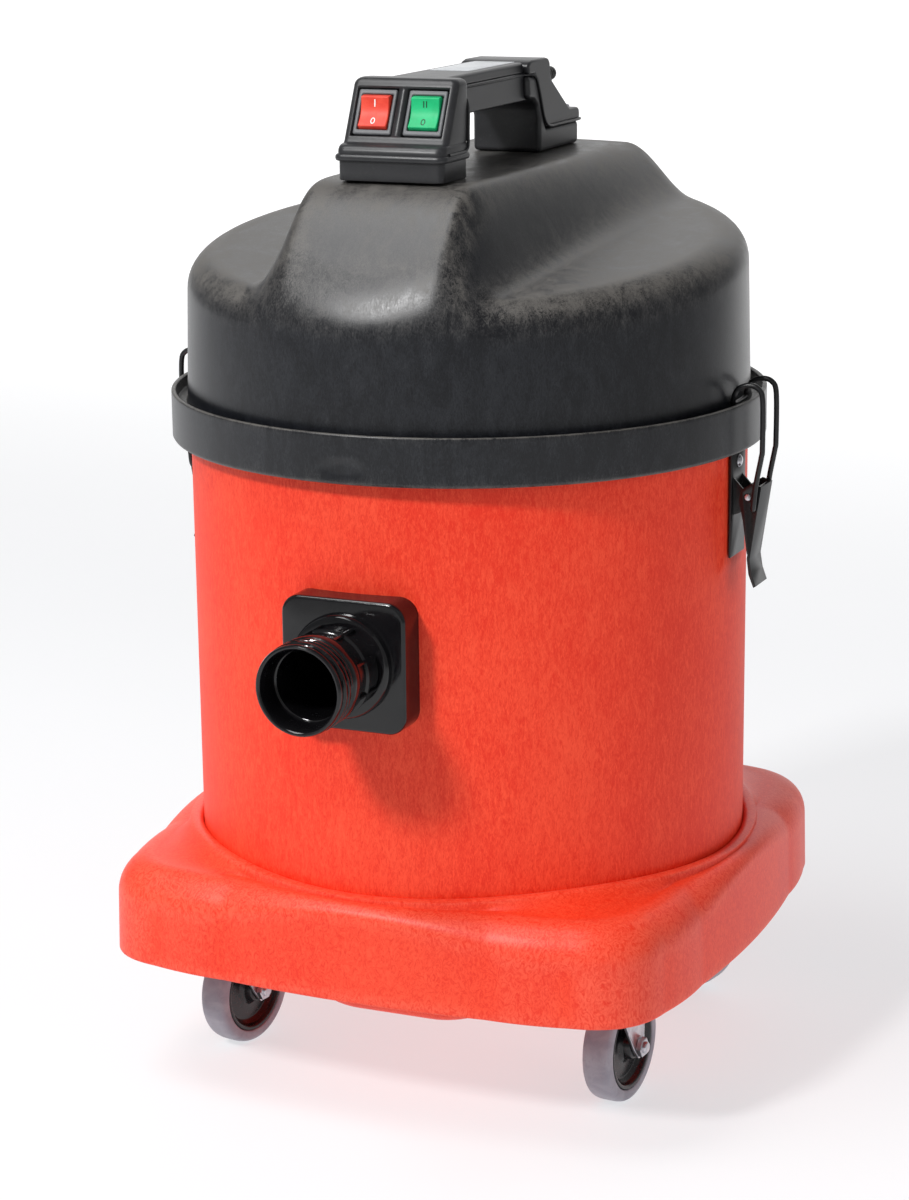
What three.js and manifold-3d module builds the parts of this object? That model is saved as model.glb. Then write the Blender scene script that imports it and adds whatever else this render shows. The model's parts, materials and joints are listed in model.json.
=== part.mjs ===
// A tub shop vacuum on four swivel casters: a moulded base, a round drum with a hose inlet,
// a twin-motor head with a switch handle, and two toggle latches. Millimetres, +Z up, front faces -Y.
import * as THREE from 'three';
import { mergeVertices } from 'three/addons/utils/BufferGeometryUtils.js';
import { ParametricGeometry } from 'three/addons/geometries/ParametricGeometry.js';
import Module from 'manifold-3d';

// ---------- driving dimensions ----------
const GAP = 0.3;

const DRUM_R = 183;
const DRUM_WALL = 3;
const DRUM_FOOT_Z = 112;
const DRUM_TOP_Z = 428;

const BASE_MID = 207.3;
const BASE_CORNER = 185.5;
const BASE_CORNER_R = 48;
const BASE_MID_R = 110;
const BASE_LOW_Z = 86;
const BASE_TOP_Z = 152;
const BASE_ROUND = 24;
const BASE_WALL = 4.5;
const WELL_R = DRUM_R + 4;
const WELL_FLOOR_Z = 108;
const SUMP_LOW_Z = 53;
const SUMP_HALF_X = 60;
const SUMP_HALF_Y = 141;
const SUMP_CORNER_R = 22;

const INLET_Z = 305.5;
const FLANGE_HALF = 41.5;
const FLANGE_FRONT = 199.5;
const NECK_R = 27;
const NECK_BORE_R = 23.5;
const NECK_END = 262.3;

const HEAD_R = 184;
const HEAD_WALL = 4;
const BAND_R = 195;
const BAND_LOW_Z = 417;
const LIP_TOP_Z = 448;
const LIP_INNER_R = 191.8;
const TROUGH_Z = 440;
const SHOULDER_Z = 544;
const SHOULDER_RISE = 0.12;
const RIDGE_Z = 591;
const RIDGE_HALF = 54;
const RIDGE_FOOT = 98;
const RIDGE_FRONT = 126;
const BROW_Z = 524;
const EDGE_ROUND = 24;

const CONSOLE_HALF = 35.5;
const CONSOLE_LIP_HALF = 38.6;
const CONSOLE_FRONT = 120;
const CONSOLE_BACK = 80;
const CONSOLE_SHELF_Z = 613.5;
const FACE_LOW = [112.3, 614];
const FACE_TOP = [94.7, 650.4];
const HANDLE_TOP_Z = 652;
const BEAD_Z = 607.5;
const GRIP_HALF = 20;
const GRIP_LOW_Z = 627;
const REAR_HALF = 24.5;
const REAR_FRONT = 68;
const REAR_BACK = 137;
const SWITCH_X = 16.9;
const ROCKER_TIP = 7;
const LABEL_HALF = 14.5;

const CASTER_X = 137;
const CASTER_Y = 113;
const CASTER_TRAIL = 25;
const WHEEL_R = 37.5;
const TYRE_WIDTH = 20;
const HUB_R = 29;
const CASTER_TOP_Z = 104;

const LATCH_PIVOT = [196.5, 387];
const BAIL_PIVOT = [200.5, 379.5];
const BAIL_HALF = 14;
const WIRE_R = 1.75;

// The drum axis stands behind the middle of the footprint, because the neck reaches past the base.
const AXIS_Y = (NECK_END - BASE_MID) / 2;

// ---------- materials ----------
const paint = (color, roughness, metalness = 0) =>
  new THREE.MeshStandardMaterial({ color, roughness, metalness });
const RED = () => paint(0xe23a26, 0.5);
const BLACK = () => paint(0x26282b, 0.62);
const SATIN = () => paint(0x2c2e31, 0.5);
const GLOSS = () => paint(0x0c0c10, 0.18);
const STEEL = () => paint(0x17181a, 0.35, 0.6);
const ZINC = () => paint(0xb9bbc4, 0.32, 1);

// ---------- helpers ----------
const wasm = await Module();
wasm.setup();

function solid(geometry) {
  const bare = geometry.clone();
  bare.deleteAttribute('normal');
  bare.deleteAttribute('uv');
  const merged = mergeVertices(bare, 1e-3);
  const mesh = new wasm.Mesh({
    numProp: 3,
    vertProperties: merged.attributes.position.array,
    triVerts: new Uint32Array(merged.index.array),
  });
  return new wasm.Manifold(mesh);
}

function geometryOf(manifold) {
  const mesh = manifold.getMesh();
  const geometry = new THREE.BufferGeometry();
  geometry.setAttribute('position', new THREE.Float32BufferAttribute(mesh.vertProperties, 3));
  geometry.setIndex([...mesh.triVerts]);
  const flat = geometry.toNonIndexed();
  flat.computeVertexNormals();
  return flat;
}

// A turned solid about +Z from [radius, height] pairs, listed from the bottom outwards and up.
function turned(profile, segments = 48) {
  const points = profile.map(([r, z]) => new THREE.Vector2(r, z));
  return new THREE.LatheGeometry(points, segments).rotateX(Math.PI / 2);
}

// The same, with its axis along -Y: heights run forwards.
const turnedForward = (profile, segments) => turned(profile, segments).rotateX(Math.PI / 2);

// The same, with its axis along +X.
const turnedAcross = (profile, segments) => turned(profile, segments).rotateY(Math.PI / 2);

const cylinder = (r, low, high, segments = 32) =>
  turned([[0, low], [r, low], [r, high], [0, high]], segments);

const box = (x0, x1, y0, y1, z0, z1) =>
  new THREE.BoxGeometry(x1 - x0, y1 - y0, z1 - z0).translate(
    (x0 + x1) / 2, (y0 + y1) / 2, (z0 + z1) / 2);

function outline(points) {
  return new THREE.Shape(points.map(([x, y]) => new THREE.Vector2(x, y)));
}

// Corner points of a polygon turned into a closed run of points with a fillet at each corner.
function filleted(corners, radii, steps = 5) {
  const run = [];
  const count = corners.length;
  corners.forEach((corner, i) => {
    const here = new THREE.Vector2(...corner);
    const before = new THREE.Vector2(...corners[(i + count - 1) % count]).sub(here).normalize();
    const after = new THREE.Vector2(...corners[(i + 1) % count]).sub(here).normalize();
    const half = before.angleTo(after) / 2;
    const radius = radii[i % radii.length];
    const middle = before.clone().add(after).normalize().multiplyScalar(radius / Math.sin(half)).add(here);
    const start = before.multiplyScalar(radius / Math.tan(half)).add(here).sub(middle);
    const end = after.multiplyScalar(radius / Math.tan(half)).add(here).sub(middle);
    const sweep = Math.atan2(start.cross(end), start.dot(end));
    for (let k = 0; k <= steps; k++) {
      const p = start.clone().rotateAround(new THREE.Vector2(), (sweep * k) / steps).add(middle);
      run.push([p.x, p.y]);
    }
  });
  return run;
}

const roundedRectangle = (halfX, halfY, radius, steps = 4) =>
  filleted([[halfX, -halfY], [halfX, halfY], [-halfX, halfY], [-halfX, -halfY]], [radius], steps);

// A flat outline in X and Y raised from one height to another.
function raised(points, low, high) {
  const depth = high - low;
  return new THREE.ExtrudeGeometry(outline(points), { depth, bevelEnabled: false }).translate(0, 0, low);
}

// A side view in [y, z] pulled along X from -half to +half, with a small bevel on its rim.
function pulledAcross(points, half, bevel = 0) {
  const settings = {
    depth: 2 * (half - bevel),
    bevelEnabled: bevel > 0,
    bevelSize: bevel,
    bevelThickness: bevel,
    bevelOffset: -bevel,
    bevelSegments: 2,
  };
  const geometry = new THREE.ExtrudeGeometry(outline(points), settings);
  return geometry.translate(0, 0, bevel - half).applyMatrix4(
    new THREE.Matrix4().set(0, 0, 1, 0, 1, 0, 0, 0, 0, 1, 0, 0, 0, 0, 0, 1));
}

// A round wire along a smooth path.
function wire(points, radius, steps, sides = 8) {
  const path = new THREE.CatmullRomCurve3(points.map((p) => new THREE.Vector3(...p)), false, 'centripetal');
  const ring = new THREE.Shape().absarc(0, 0, radius, 0, 2 * Math.PI);
  return new THREE.ExtrudeGeometry(ring, {
    steps,
    curveSegments: sides,
    bevelEnabled: false,
    extrudePath: path,
  });
}

const vacuum = new THREE.Group();
vacuum.name = 'shop_vacuum';
const machine = new THREE.Group();
machine.name = 'machine';
machine.position.y = AXIS_Y;
vacuum.add(machine);

function add(name, shape, material, parent = machine) {
  const mesh = new THREE.Mesh(shape.isBufferGeometry ? shape : geometryOf(shape), material);
  mesh.name = name;
  parent.add(mesh);
  return mesh;
}

const union = (...parts) => parts.reduce((sum, part) => sum.add(part));

// ---------- base chassis ----------
const baseOutline = (inset, steps = 4) => {
  const mid = BASE_MID - inset;
  const corner = BASE_CORNER - inset;
  const corners = [
    [mid, 0], [corner, corner], [0, mid], [-corner, corner],
    [-mid, 0], [-corner, -corner], [0, -mid], [corner, -corner],
  ];
  return filleted(corners, [BASE_MID_R, BASE_CORNER_R - inset], steps);
};

function baseDome(inset, low, high, round) {
  const rings = [[low, 0]];
  const turns = 4;
  for (let k = 0; k <= turns; k++) {
    const angle = (k / turns) * (Math.PI / 2);
    rings.push([high - round + round * Math.sin(angle), round * (1 - Math.cos(angle))]);
  }
  const loops = rings.map(([z, back]) => baseOutline(inset + back).map(([x, y]) => [x, y, z]));
  const sides = loops[0].length;
  const positions = [0, 0, low, ...loops.flat(2), 0, 0, high];
  const index = [];
  for (let i = 0; i < sides; i++) {
    const next = (i + 1) % sides;
    index.push(0, 1 + next, 1 + i);
    for (let r = 0; r < loops.length - 1; r++) {
      const a = 1 + r * sides;
      const b = a + sides;
      index.push(a + i, a + next, b + next, a + i, b + next, b + i);
    }
    const last = 1 + (loops.length - 1) * sides;
    index.push(last + i, last + next, last + sides);
  }
  const geometry = new THREE.BufferGeometry();
  geometry.setAttribute('position', new THREE.Float32BufferAttribute(positions, 3));
  geometry.setIndex(index);
  return geometry;
}

const sumpOutline = (inset) => roundedRectangle(SUMP_HALF_X - inset, SUMP_HALF_Y - inset, SUMP_CORNER_R - inset);

const baseShell = solid(baseDome(0, BASE_LOW_Z, BASE_TOP_Z, BASE_ROUND))
  .subtract(solid(baseDome(BASE_WALL, BASE_LOW_Z - 10, BASE_TOP_Z - BASE_WALL, BASE_ROUND - BASE_WALL)));
const collar = solid(turned([
  [0, WELL_FLOOR_Z - 4], [WELL_R + 4, WELL_FLOOR_Z - 4], [WELL_R + 4, BASE_TOP_Z - 6],
  [WELL_R + 6, BASE_TOP_Z - 1], [WELL_R + 2, BASE_TOP_Z + 2], [0, BASE_TOP_Z + 2],
], 56));
const casterBosses = [1, -1].flatMap((sx) => [1, -1].map((sy) =>
  solid(cylinder(33, CASTER_TOP_Z, BASE_TOP_Z - 2, 20).translate(sx * CASTER_X, sy * CASTER_Y, 0))));
const baseChassis = union(
  baseShell, collar, ...casterBosses, solid(raised(sumpOutline(0), SUMP_LOW_Z, WELL_FLOOR_Z - 2)))
  .subtract(solid(cylinder(DRUM_R + GAP, WELL_FLOOR_Z, BASE_TOP_Z + 10, 56)))
  .subtract(solid(raised(sumpOutline(4), SUMP_LOW_Z + 4, WELL_FLOOR_Z + 1)));
add('base_chassis', baseChassis, RED());

// ---------- drum ----------
const drumShell = solid(turned([
  [0, DRUM_FOOT_Z - 3.5], [DRUM_R - 8, DRUM_FOOT_Z - 3.5], [DRUM_R - 0.6, DRUM_FOOT_Z + 5],
  [DRUM_R, DRUM_TOP_Z], [DRUM_R - DRUM_WALL, DRUM_TOP_Z],
  [DRUM_R - DRUM_WALL - 0.6, DRUM_FOOT_Z + 6], [DRUM_R - 9, DRUM_FOOT_Z], [0, DRUM_FOOT_Z],
], 56));
const inletHole = solid(turnedForward([[0, 150], [29, 150], [29, 200], [0, 200]], 32).translate(0, 0, INLET_Z));
const latchPads = [0, Math.PI].map((turn) =>
  solid(box(DRUM_R - 4, DRUM_R + 1.4, -21, 21, 340, 415.5).rotateZ(turn)));
add('drum_body', union(drumShell, ...latchPads).subtract(inletHole), RED());

// ---------- hose inlet ----------
const flangeBlock = solid(new THREE.ExtrudeGeometry(
  outline(roundedRectangle(FLANGE_HALF - 1.5, FLANGE_HALF - 1.5, 10.5)),
  { depth: FLANGE_FRONT - 160 - 1.5, bevelSize: 1.5, bevelThickness: 1.5, bevelSegments: 2 },
).rotateX(Math.PI / 2).translate(0, -160, INLET_Z));
const drumCore = solid(cylinder(DRUM_R + GAP, 200, 400, 56));
const neckSeat = solid(turnedForward([[0, 150], [33.6, 150], [33.6, 210], [0, 210]], 28).translate(0, 0, INLET_Z));
add('inlet_flange', flangeBlock.subtract(drumCore).subtract(neckSeat), GLOSS());

const threadRidge = (y) => [[NECK_R, y], [NECK_R + 1.6, y + 0.9], [NECK_R + 1.6, y + 1.7], [NECK_R, y + 2.6]];
const neckBody = solid(turnedForward([
  [NECK_BORE_R - 1.5, 158], [NECK_R + 0.6, 158], [NECK_R + 0.6, 184.6], [33, 184.6], [33, 203], [31.5, 205.5],
  [NECK_R - 0.8, 205.5], [NECK_R - 0.8, 233], [NECK_R + 1.2, 234], [NECK_R + 1.2, 241], [NECK_R - 0.4, 242],
  ...threadRidge(244), ...threadRidge(248.4), ...threadRidge(252.8),
  [NECK_R, 258], [NECK_R + 1.4, 259.6], [NECK_R + 1, 261.6], [NECK_R - 0.6, NECK_END],
  [NECK_BORE_R + 1.4, 261], [NECK_BORE_R + 0.6, 246], [NECK_BORE_R - 1.5, 243],
  [NECK_BORE_R - 1.5, 158],
], 20).translate(0, 0, INLET_Z));
const neckRibs = Array.from({ length: 8 }, (_, i) => {
  const rib = box(-1, 1, -233.5, -205, NECK_R - 2, NECK_R + 1.1);
  return solid(rib.rotateY((i * Math.PI) / 4 + Math.PI / 8).translate(0, 0, INLET_Z));
});
const ribHoop = solid(turnedForward([
  [NECK_R - 2, 219], [NECK_R + 1.1, 219], [NECK_R + 1.1, 221.5], [NECK_R - 2, 221.5], [NECK_R - 2, 219],
], 20).translate(0, 0, INLET_Z));
add('inlet_neck', union(neckBody, ribHoop, ...neckRibs), GLOSS());

// Inside the drum the air is turned down by an elbow.
const elbowHood = solid(turnedForward([[0, 110], [33, 110], [33, 157.7], [0, 157.7]], 28).translate(0, 0, INLET_Z));
const elbowSpout = solid(cylinder(33, INLET_Z - 52, INLET_Z, 28).translate(0, -143, 0))
  .subtract(solid(box(-60, 60, -200, -157.7, 100, 400)));
const elbowWay = solid(turnedForward([[0, 113], [28, 113], [28, 165], [0, 165]], 28).translate(0, 0, INLET_Z));
const spoutWay = solid(cylinder(26, INLET_Z - 60, INLET_Z, 28).translate(0, -141, 0))
  .intersect(solid(box(-60, 60, -154.7, -100, 100, 400)));
add('inlet_elbow', elbowHood.add(elbowSpout).subtract(elbowWay).subtract(spoutWay), BLACK());

// ---------- head cover ----------
const smooth = (t) => {
  const s = THREE.MathUtils.clamp(t, 0, 1);
  return s * s * (3 - 2 * s);
};

// Height of the head's top at a place in plan: shoulders that rise towards the back, and a ridge
// from front to back whose front slopes down to the brow.
function headTop(x, y) {
  const shoulder = SHOULDER_Z + SHOULDER_RISE * y;
  const wallY = Math.sqrt(Math.max(HEAD_R * HEAD_R - x * x, 1));
  const slope = smooth((-y - RIDGE_FRONT + 8) / (wallY - RIDGE_FRONT + 20));
  const ridge = RIDGE_Z - (RIDGE_Z - BROW_Z) * slope;
  const side = smooth((RIDGE_FOOT - Math.abs(x)) / (RIDGE_FOOT - RIDGE_HALF));
  return shoulder + (ridge - shoulder) * side;
}

function headPoint(angle, radius) {
  const x = radius * Math.sin(angle);
  const y = -radius * Math.cos(angle);
  const over = Math.max((radius - HEAD_R + EDGE_ROUND) / EDGE_ROUND, 0);
  return [x, y, headTop(x, y) - EDGE_ROUND * (1 - Math.sqrt(Math.max(1 - over * over, 0)))];
}

// A closed dome: its flat underside, its wall, its rounded edge and its top, as one swept surface.
function headDome(low, sides, rings) {
  const turn = 4;
  const steps = rings + turn + 2;
  const surface = (u, v, target) => {
    const angle = u * 2 * Math.PI;
    const k = Math.round(v * steps);
    if (k === 0) return target.set(0, 0, low);
    if (k === 1) return target.set(HEAD_R * Math.sin(angle), -HEAD_R * Math.cos(angle), low);
    const back = k - 2;
    const bend = (back / turn) * (Math.PI / 2);
    const radius = back <= turn
      ? HEAD_R - EDGE_ROUND * (1 - Math.cos(bend))
      : (HEAD_R - EDGE_ROUND) * (1 - (back - turn) / rings);
    return target.set(...headPoint(angle, radius));
  };
  return new ParametricGeometry(surface, sides, steps);
}

const cover = solid(headDome(BAND_LOW_Z + 12, 56, 10));
const HEAD_SPACE_R = HEAD_R - HEAD_WALL;
const motorSpace = solid(turned([
  [0, BAND_LOW_Z + 6], [HEAD_SPACE_R, BAND_LOW_Z + 6], [HEAD_SPACE_R, 490], [HEAD_SPACE_R - 8, 505],
  [130, 512], [122, 531], [0, 531],
], 40));
const ridgeSpace = solid(pulledAcross([
  [-96, 500], [150, 500], [150, RIDGE_Z - HEAD_WALL - 2], [-96, RIDGE_Z - HEAD_WALL - 2],
], RIDGE_HALF - 8));
const rimBand = solid(turned([
  [DRUM_R - 6, BAND_LOW_Z + 12], [DRUM_R + 1, BAND_LOW_Z + 12], [DRUM_R + 1, BAND_LOW_Z + 2],
  [DRUM_R + 4, BAND_LOW_Z], [BAND_R - 1.2, BAND_LOW_Z], [BAND_R, BAND_LOW_Z + 1.5],
  [BAND_R, LIP_TOP_Z - 2], [BAND_R - 1.4, LIP_TOP_Z], [LIP_INNER_R + 0.6, LIP_TOP_Z],
  [LIP_INNER_R, LIP_TOP_Z - 1.5], [LIP_INNER_R, TROUGH_Z], [HEAD_R - 2, TROUGH_Z],
  [DRUM_R - 6, TROUGH_Z], [DRUM_R - 6, BAND_LOW_Z + 12],
], 56));
add('head_cover', cover.add(rimBand).subtract(motorSpace).subtract(ridgeSpace), BLACK());

add('lid_seal', turned([
  [DRUM_R - 6.5, DRUM_TOP_Z - 9], [DRUM_R - 3.3, DRUM_TOP_Z - 9], [DRUM_R - 3.3, DRUM_TOP_Z + 0.3],
  [DRUM_R - 6.5, DRUM_TOP_Z + 0.3], [DRUM_R - 6.5, DRUM_TOP_Z - 9],
], 40), paint(0x3a3a3c, 0.9));

// ---------- motors and filter ----------
const MOTOR_PLATE_Z = 434;
const MOTOR_X = 62;
const motorHole = (sx) => solid(cylinder(26, 400, 460, 24).translate(sx * MOTOR_X, 0, 0));
const motorPlate = solid(turned([
  [0, MOTOR_PLATE_Z], [168, MOTOR_PLATE_Z], [174, MOTOR_PLATE_Z + 1.5], [174, MOTOR_PLATE_Z + 6],
  [0, MOTOR_PLATE_Z + 6],
], 40)).subtract(motorHole(1)).subtract(motorHole(-1));
add('motor_plate', motorPlate, BLACK());

for (const [name, sx] of [['motor_left', -1], ['motor_right', 1]]) {
  const motor = turned([
    [0, 440.3], [56, 440.3], [58, 442], [58, 470], [54, 474], [42, 475], [42, 512], [34, 518],
    [14, 519], [12, 528], [0, 528],
  ], 18);
  add(name, motor, paint(0x9c9da1, 0.4, 0.8)).position.x = sx * MOTOR_X;
}

add('filter_ring', turned([
  [158, 421], [172, 421], [172, 433.7], [158, 433.7], [158, 421],
], 28), BLACK());
add('filter_bag', turned([
  [0, 299], [62, 299], [98, 312], [107, 345], [150.4, 418], [168, 418], [168, 420.7], [148, 420.7],
  [104, 346], [96, 315], [61, 302], [0, 302],
], 26), paint(0xd8d4c8, 0.95));

// ---------- handle ----------
const HANDLE_LOW_Z = RIDGE_Z + GAP;
const LIP_LOW_Z = 600.5;
const consoleMiddle = -(CONSOLE_FRONT + CONSOLE_BACK) / 2;
const consoleDepth = (CONSOLE_FRONT - CONSOLE_BACK) / 2;
const rearMiddle = (REAR_FRONT + REAR_BACK) / 2;
const rearDepth = (REAR_BACK - REAR_FRONT) / 2;
const foot = (halfX, halfY, radius, low, high, y) =>
  solid(raised(roundedRectangle(halfX, halfY, radius), low, high).translate(0, y, 0));
const gripUnderside = [
  [-78, 640], [-77, 630], [-70, GRIP_LOW_Z + 1.5], [-60, GRIP_LOW_Z], [38, GRIP_LOW_Z], [48, GRIP_LOW_Z - 2.5],
  [55, 617], [60, 630], [57, 643], [-78, 643],
];
const rearWall = [[50, 622], [55, 615], [62, 602], [75, 602], [62.5, 638], [57, 643], [50, 643]];
const handleLower = union(
  foot(CONSOLE_HALF, consoleDepth, 5, HANDLE_LOW_Z, LIP_LOW_Z + 2, consoleMiddle),
  foot(CONSOLE_LIP_HALF, consoleDepth + 2.5, 6, LIP_LOW_Z, BEAD_Z - 0.4, consoleMiddle),
  foot(REAR_HALF, rearDepth, 4, HANDLE_LOW_Z, LIP_LOW_Z + 2, rearMiddle),
  foot(REAR_HALF + 2.5, rearDepth + 2, 5, LIP_LOW_Z, BEAD_Z - 0.4, rearMiddle + 2),
  solid(pulledAcross([[-80, 602], [-76, 602], [-75, 643], [-80, 643]], CONSOLE_HALF - 1)),
  solid(pulledAcross(gripUnderside, GRIP_HALF + 0.6)),
  solid(pulledAcross(rearWall, REAR_HALF)));
add('handle_lower', handleLower, SATIN());

const consoleSide = [
  [-CONSOLE_FRONT, BEAD_Z], [-80.4, BEAD_Z], [-80.4, HANDLE_TOP_Z], [-90, HANDLE_TOP_Z],
  [-FACE_TOP[0], FACE_TOP[1]], [-FACE_LOW[0], FACE_LOW[1]], [-117, CONSOLE_SHELF_Z],
  [-CONSOLE_FRONT, CONSOLE_SHELF_Z - 3],
];
const consoleCrown = [
  [-90, 643.4], [-74, 643.4], [-73.5, 648], [-78, HANDLE_TOP_Z], [-90, HANDLE_TOP_Z],
];
const gripTop = [
  [-82, 643.4], [60, 643.4], [60, HANDLE_TOP_Z - 0.5], [-82, HANDLE_TOP_Z - 0.5],
];
const rearSide = [
  [77.4, BEAD_Z], [REAR_BACK + 2, BEAD_Z], [REAR_BACK + 2, 613.5], [REAR_BACK - 2, 615.5], [120, 616.5],
  [87, 638], [84, 649], [78, HANDLE_TOP_Z + 0.8], [52, HANDLE_TOP_Z + 0.8], [47, HANDLE_TOP_Z - 1.5],
  [50, 643.4], [57.4, 643.4], [63.2, 638.4],
];
const FACE_TILT = Math.atan2(FACE_TOP[1] - FACE_LOW[1], FACE_LOW[0] - FACE_TOP[0]);
const FACE_MIDDLE = [-(FACE_LOW[0] + FACE_TOP[0]) / 2, (FACE_LOW[1] + FACE_TOP[1]) / 2];
const onFace = (geometry, x) => geometry.translate(x, 0, 0).rotateX(FACE_TILT).translate(0, ...FACE_MIDDLE);
const switchSlot = (x) => solid(onFace(box(-14.3, 14.3, -16.2, 16.2, -14, 4), x));
const GLAND_X = 14;
const GLAND_Z = 640;
const glandHole = solid(turnedForward([[0, -100], [6, -100], [6, -79], [0, -79]], 20)
  .translate(GLAND_X, 0, GLAND_Z));
const handleUpper = union(
  solid(pulledAcross(consoleSide, CONSOLE_HALF, 1.2)),
  solid(pulledAcross(consoleCrown, CONSOLE_HALF - 3, 1)),
  solid(pulledAcross(gripTop, GRIP_HALF, 1.2)),
  solid(pulledAcross(rearSide, REAR_HALF, 1.2)))
  .subtract(solid(pulledAcross([[-106, 600], [-84, 600], [-84, 640], [-92, 640]], CONSOLE_HALF - 4)))
  .subtract(solid(pulledAcross([[80, 600], [130, 600], [130, 610], [92, 630], [80, 630]], REAR_HALF - 4)))
  .subtract(switchSlot(-SWITCH_X))
  .subtract(switchSlot(SWITCH_X))
  .subtract(glandHole)
  .subtract(solid(box(-LABEL_HALF - 0.5, LABEL_HALF + 0.5, -28, 44.5, HANDLE_TOP_Z - 1.9, HANDLE_TOP_Z + 5)));
add('handle_upper', handleUpper, SATIN());

add('handle_label', box(-LABEL_HALF, LABEL_HALF, -27.5, 44, HANDLE_TOP_Z - 1.6, HANDLE_TOP_Z - 0.3),
  paint(0xc9cdd0, 0.5));
const glandRib = (y) => [[5.7, y], [5.7, y + 1.6], [4.6, y + 1.6], [4.6, y + 2.8]];
add('cord_gland', turnedForward([
  [0, 81], [5.7, 81], [5.7, 89], [4.6, 89], [4.6, 90.5], ...glandRib(90.5), ...glandRib(93.3), ...glandRib(96.1),
  [5.4, 99], [5.4, 102], [4.4, 103], [2.6, 103], [2.6, 96], [0, 96],
].map(([r, y]) => [r, -y]).reverse(), 10).translate(GLAND_X, 0, GLAND_Z), paint(0x1b1b1d, 0.6));
for (const [name, x] of [['rear_screw_left', -17], ['rear_screw_right', 17]]) {
  add(name, cylinder(3.2, 0, 2.2, 14), ZINC()).position.set(x, 129, 616.6);
}

// ---------- switches ----------
const bezelFrame = solid(box(-14, 14, -15.9, 15.9, -11, -0.4))
  .subtract(solid(box(-11.9, 11.9, -12.2, 12.2, -9.5, 3)));
const rockerSide = [
  [-11.4, -4.6], [-7, -8], [7, -8], [11.4, -4.6], [11.4, 1.4], [9.6, 1.7], [4, 0.2], [0, -0.3],
  [-4, 0.2], [-9.6, 1.7], [-11.4, 1.4],
];
const ROCKER_DEPTH = -3.6;
for (const [side, x, colour] of [['red', -SWITCH_X, 0xd8321f], ['green', SWITCH_X, 0x12a650]]) {
  add(`switch_bezel_${side}`, onFace(geometryOf(bezelFrame), x), paint(0x55585c, 0.5));
  const rocker = new THREE.Group();
  rocker.name = `rocker_place_${side}`;
  rocker.position.set(x, 0, 0).add(new THREE.Vector3(
    0,
    FACE_MIDDLE[0] - ROCKER_DEPTH * Math.sin(FACE_TILT),
    FACE_MIDDLE[1] + ROCKER_DEPTH * Math.cos(FACE_TILT)));
  rocker.rotation.x = FACE_TILT + THREE.MathUtils.degToRad(ROCKER_TIP);
  machine.add(rocker);
  const body = pulledAcross(rockerSide.map(([y, z]) => [y, z - ROCKER_DEPTH]), 11.3, 0.5);
  add(`rocker_${side}`, body, paint(colour, 0.35), rocker);
}

// ---------- toggle latches ----------
// A side view in [x, z] pulled along Y between two places.
function pulledAlong(points, low, high) {
  const geometry = new THREE.ExtrudeGeometry(outline(points), { depth: high - low, bevelEnabled: false });
  return geometry.rotateX(Math.PI / 2).translate(0, high, 0);
}

const [PIVOT_X, PIVOT_Z] = LATCH_PIVOT;
const [HOOK_X, HOOK_Z] = BAIL_PIVOT;
const acrossPin = (radius, half, x, z, sides) =>
  turnedForward([[0, -half], [radius, -half], [radius, half], [0, half]], sides).translate(x, 0, z);
const PLATE_X = DRUM_R + 1.7;
const eye = Array.from({ length: 7 }, (_, i) => {
  const angle = THREE.MathUtils.degToRad(-50 + i * 30);
  return [PIVOT_X + 5.3 * Math.cos(angle), PIVOT_Z + 5.3 * Math.sin(angle)];
});
const flange = [[PLATE_X + 1, 374], [PLATE_X + 6, 376], ...eye, [PLATE_X + 1, 399]];
const bracket = union(
  solid(box(PLATE_X, PLATE_X + 1.6, -14, 14, 347, 415.5)),
  solid(pulledAlong(flange, 7.4, 9.2)),
  solid(pulledAlong(flange, -9.2, -7.4)))
  .subtract(solid(acrossPin(2.5, 20, PIVOT_X, PIVOT_Z, 14)));
const leverPlate = [
  [205.4, 394.2], [203.6, 394.6], [196.3, 347], [197.6, 336.6], [200.9, 328.2], [202.6, 329.2],
  [199.7, 337.2], [198.2, 346.6],
];
const leverWall = [
  [205, 394.2], [199, 396], [192, 391.5], [190.6, 384], [193.5, 371], [196.3, 350], [198.2, 349],
];
const lever = union(
  solid(pulledAlong(leverPlate, -11.6, 11.6)),
  solid(pulledAlong(leverWall, 9.8, 11.6)),
  solid(pulledAlong(leverWall, -11.6, -9.8)))
  .subtract(solid(acrossPin(2.5, 20, PIVOT_X, PIVOT_Z, 14)))
  .subtract(solid(acrossPin(WIRE_R + 0.35, 20, HOOK_X, HOOK_Z, 12)));
const bailLeg = (side) => [
  [HOOK_X, side * 6.2, HOOK_Z], [HOOK_X, side * 12, HOOK_Z], [HOOK_X + 0.6, side * BAIL_HALF, HOOK_Z + 2.5],
  [202.6, side * BAIL_HALF, 396], [206, side * BAIL_HALF, 414], [206.6, side * BAIL_HALF, 420],
  [206.4, side * BAIL_HALF, 450], [203.5, side * BAIL_HALF, 457.6], [197, side * BAIL_HALF, 459.4],
  [190, side * BAIL_HALF, 456.6], [187, side * (BAIL_HALF - 0.6), 450.5], [186.4, side * (BAIL_HALF - 3.4), 446.9],
];
const bail = wire([...bailLeg(-1), ...bailLeg(1).reverse()], WIRE_R, 40, 3);

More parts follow.
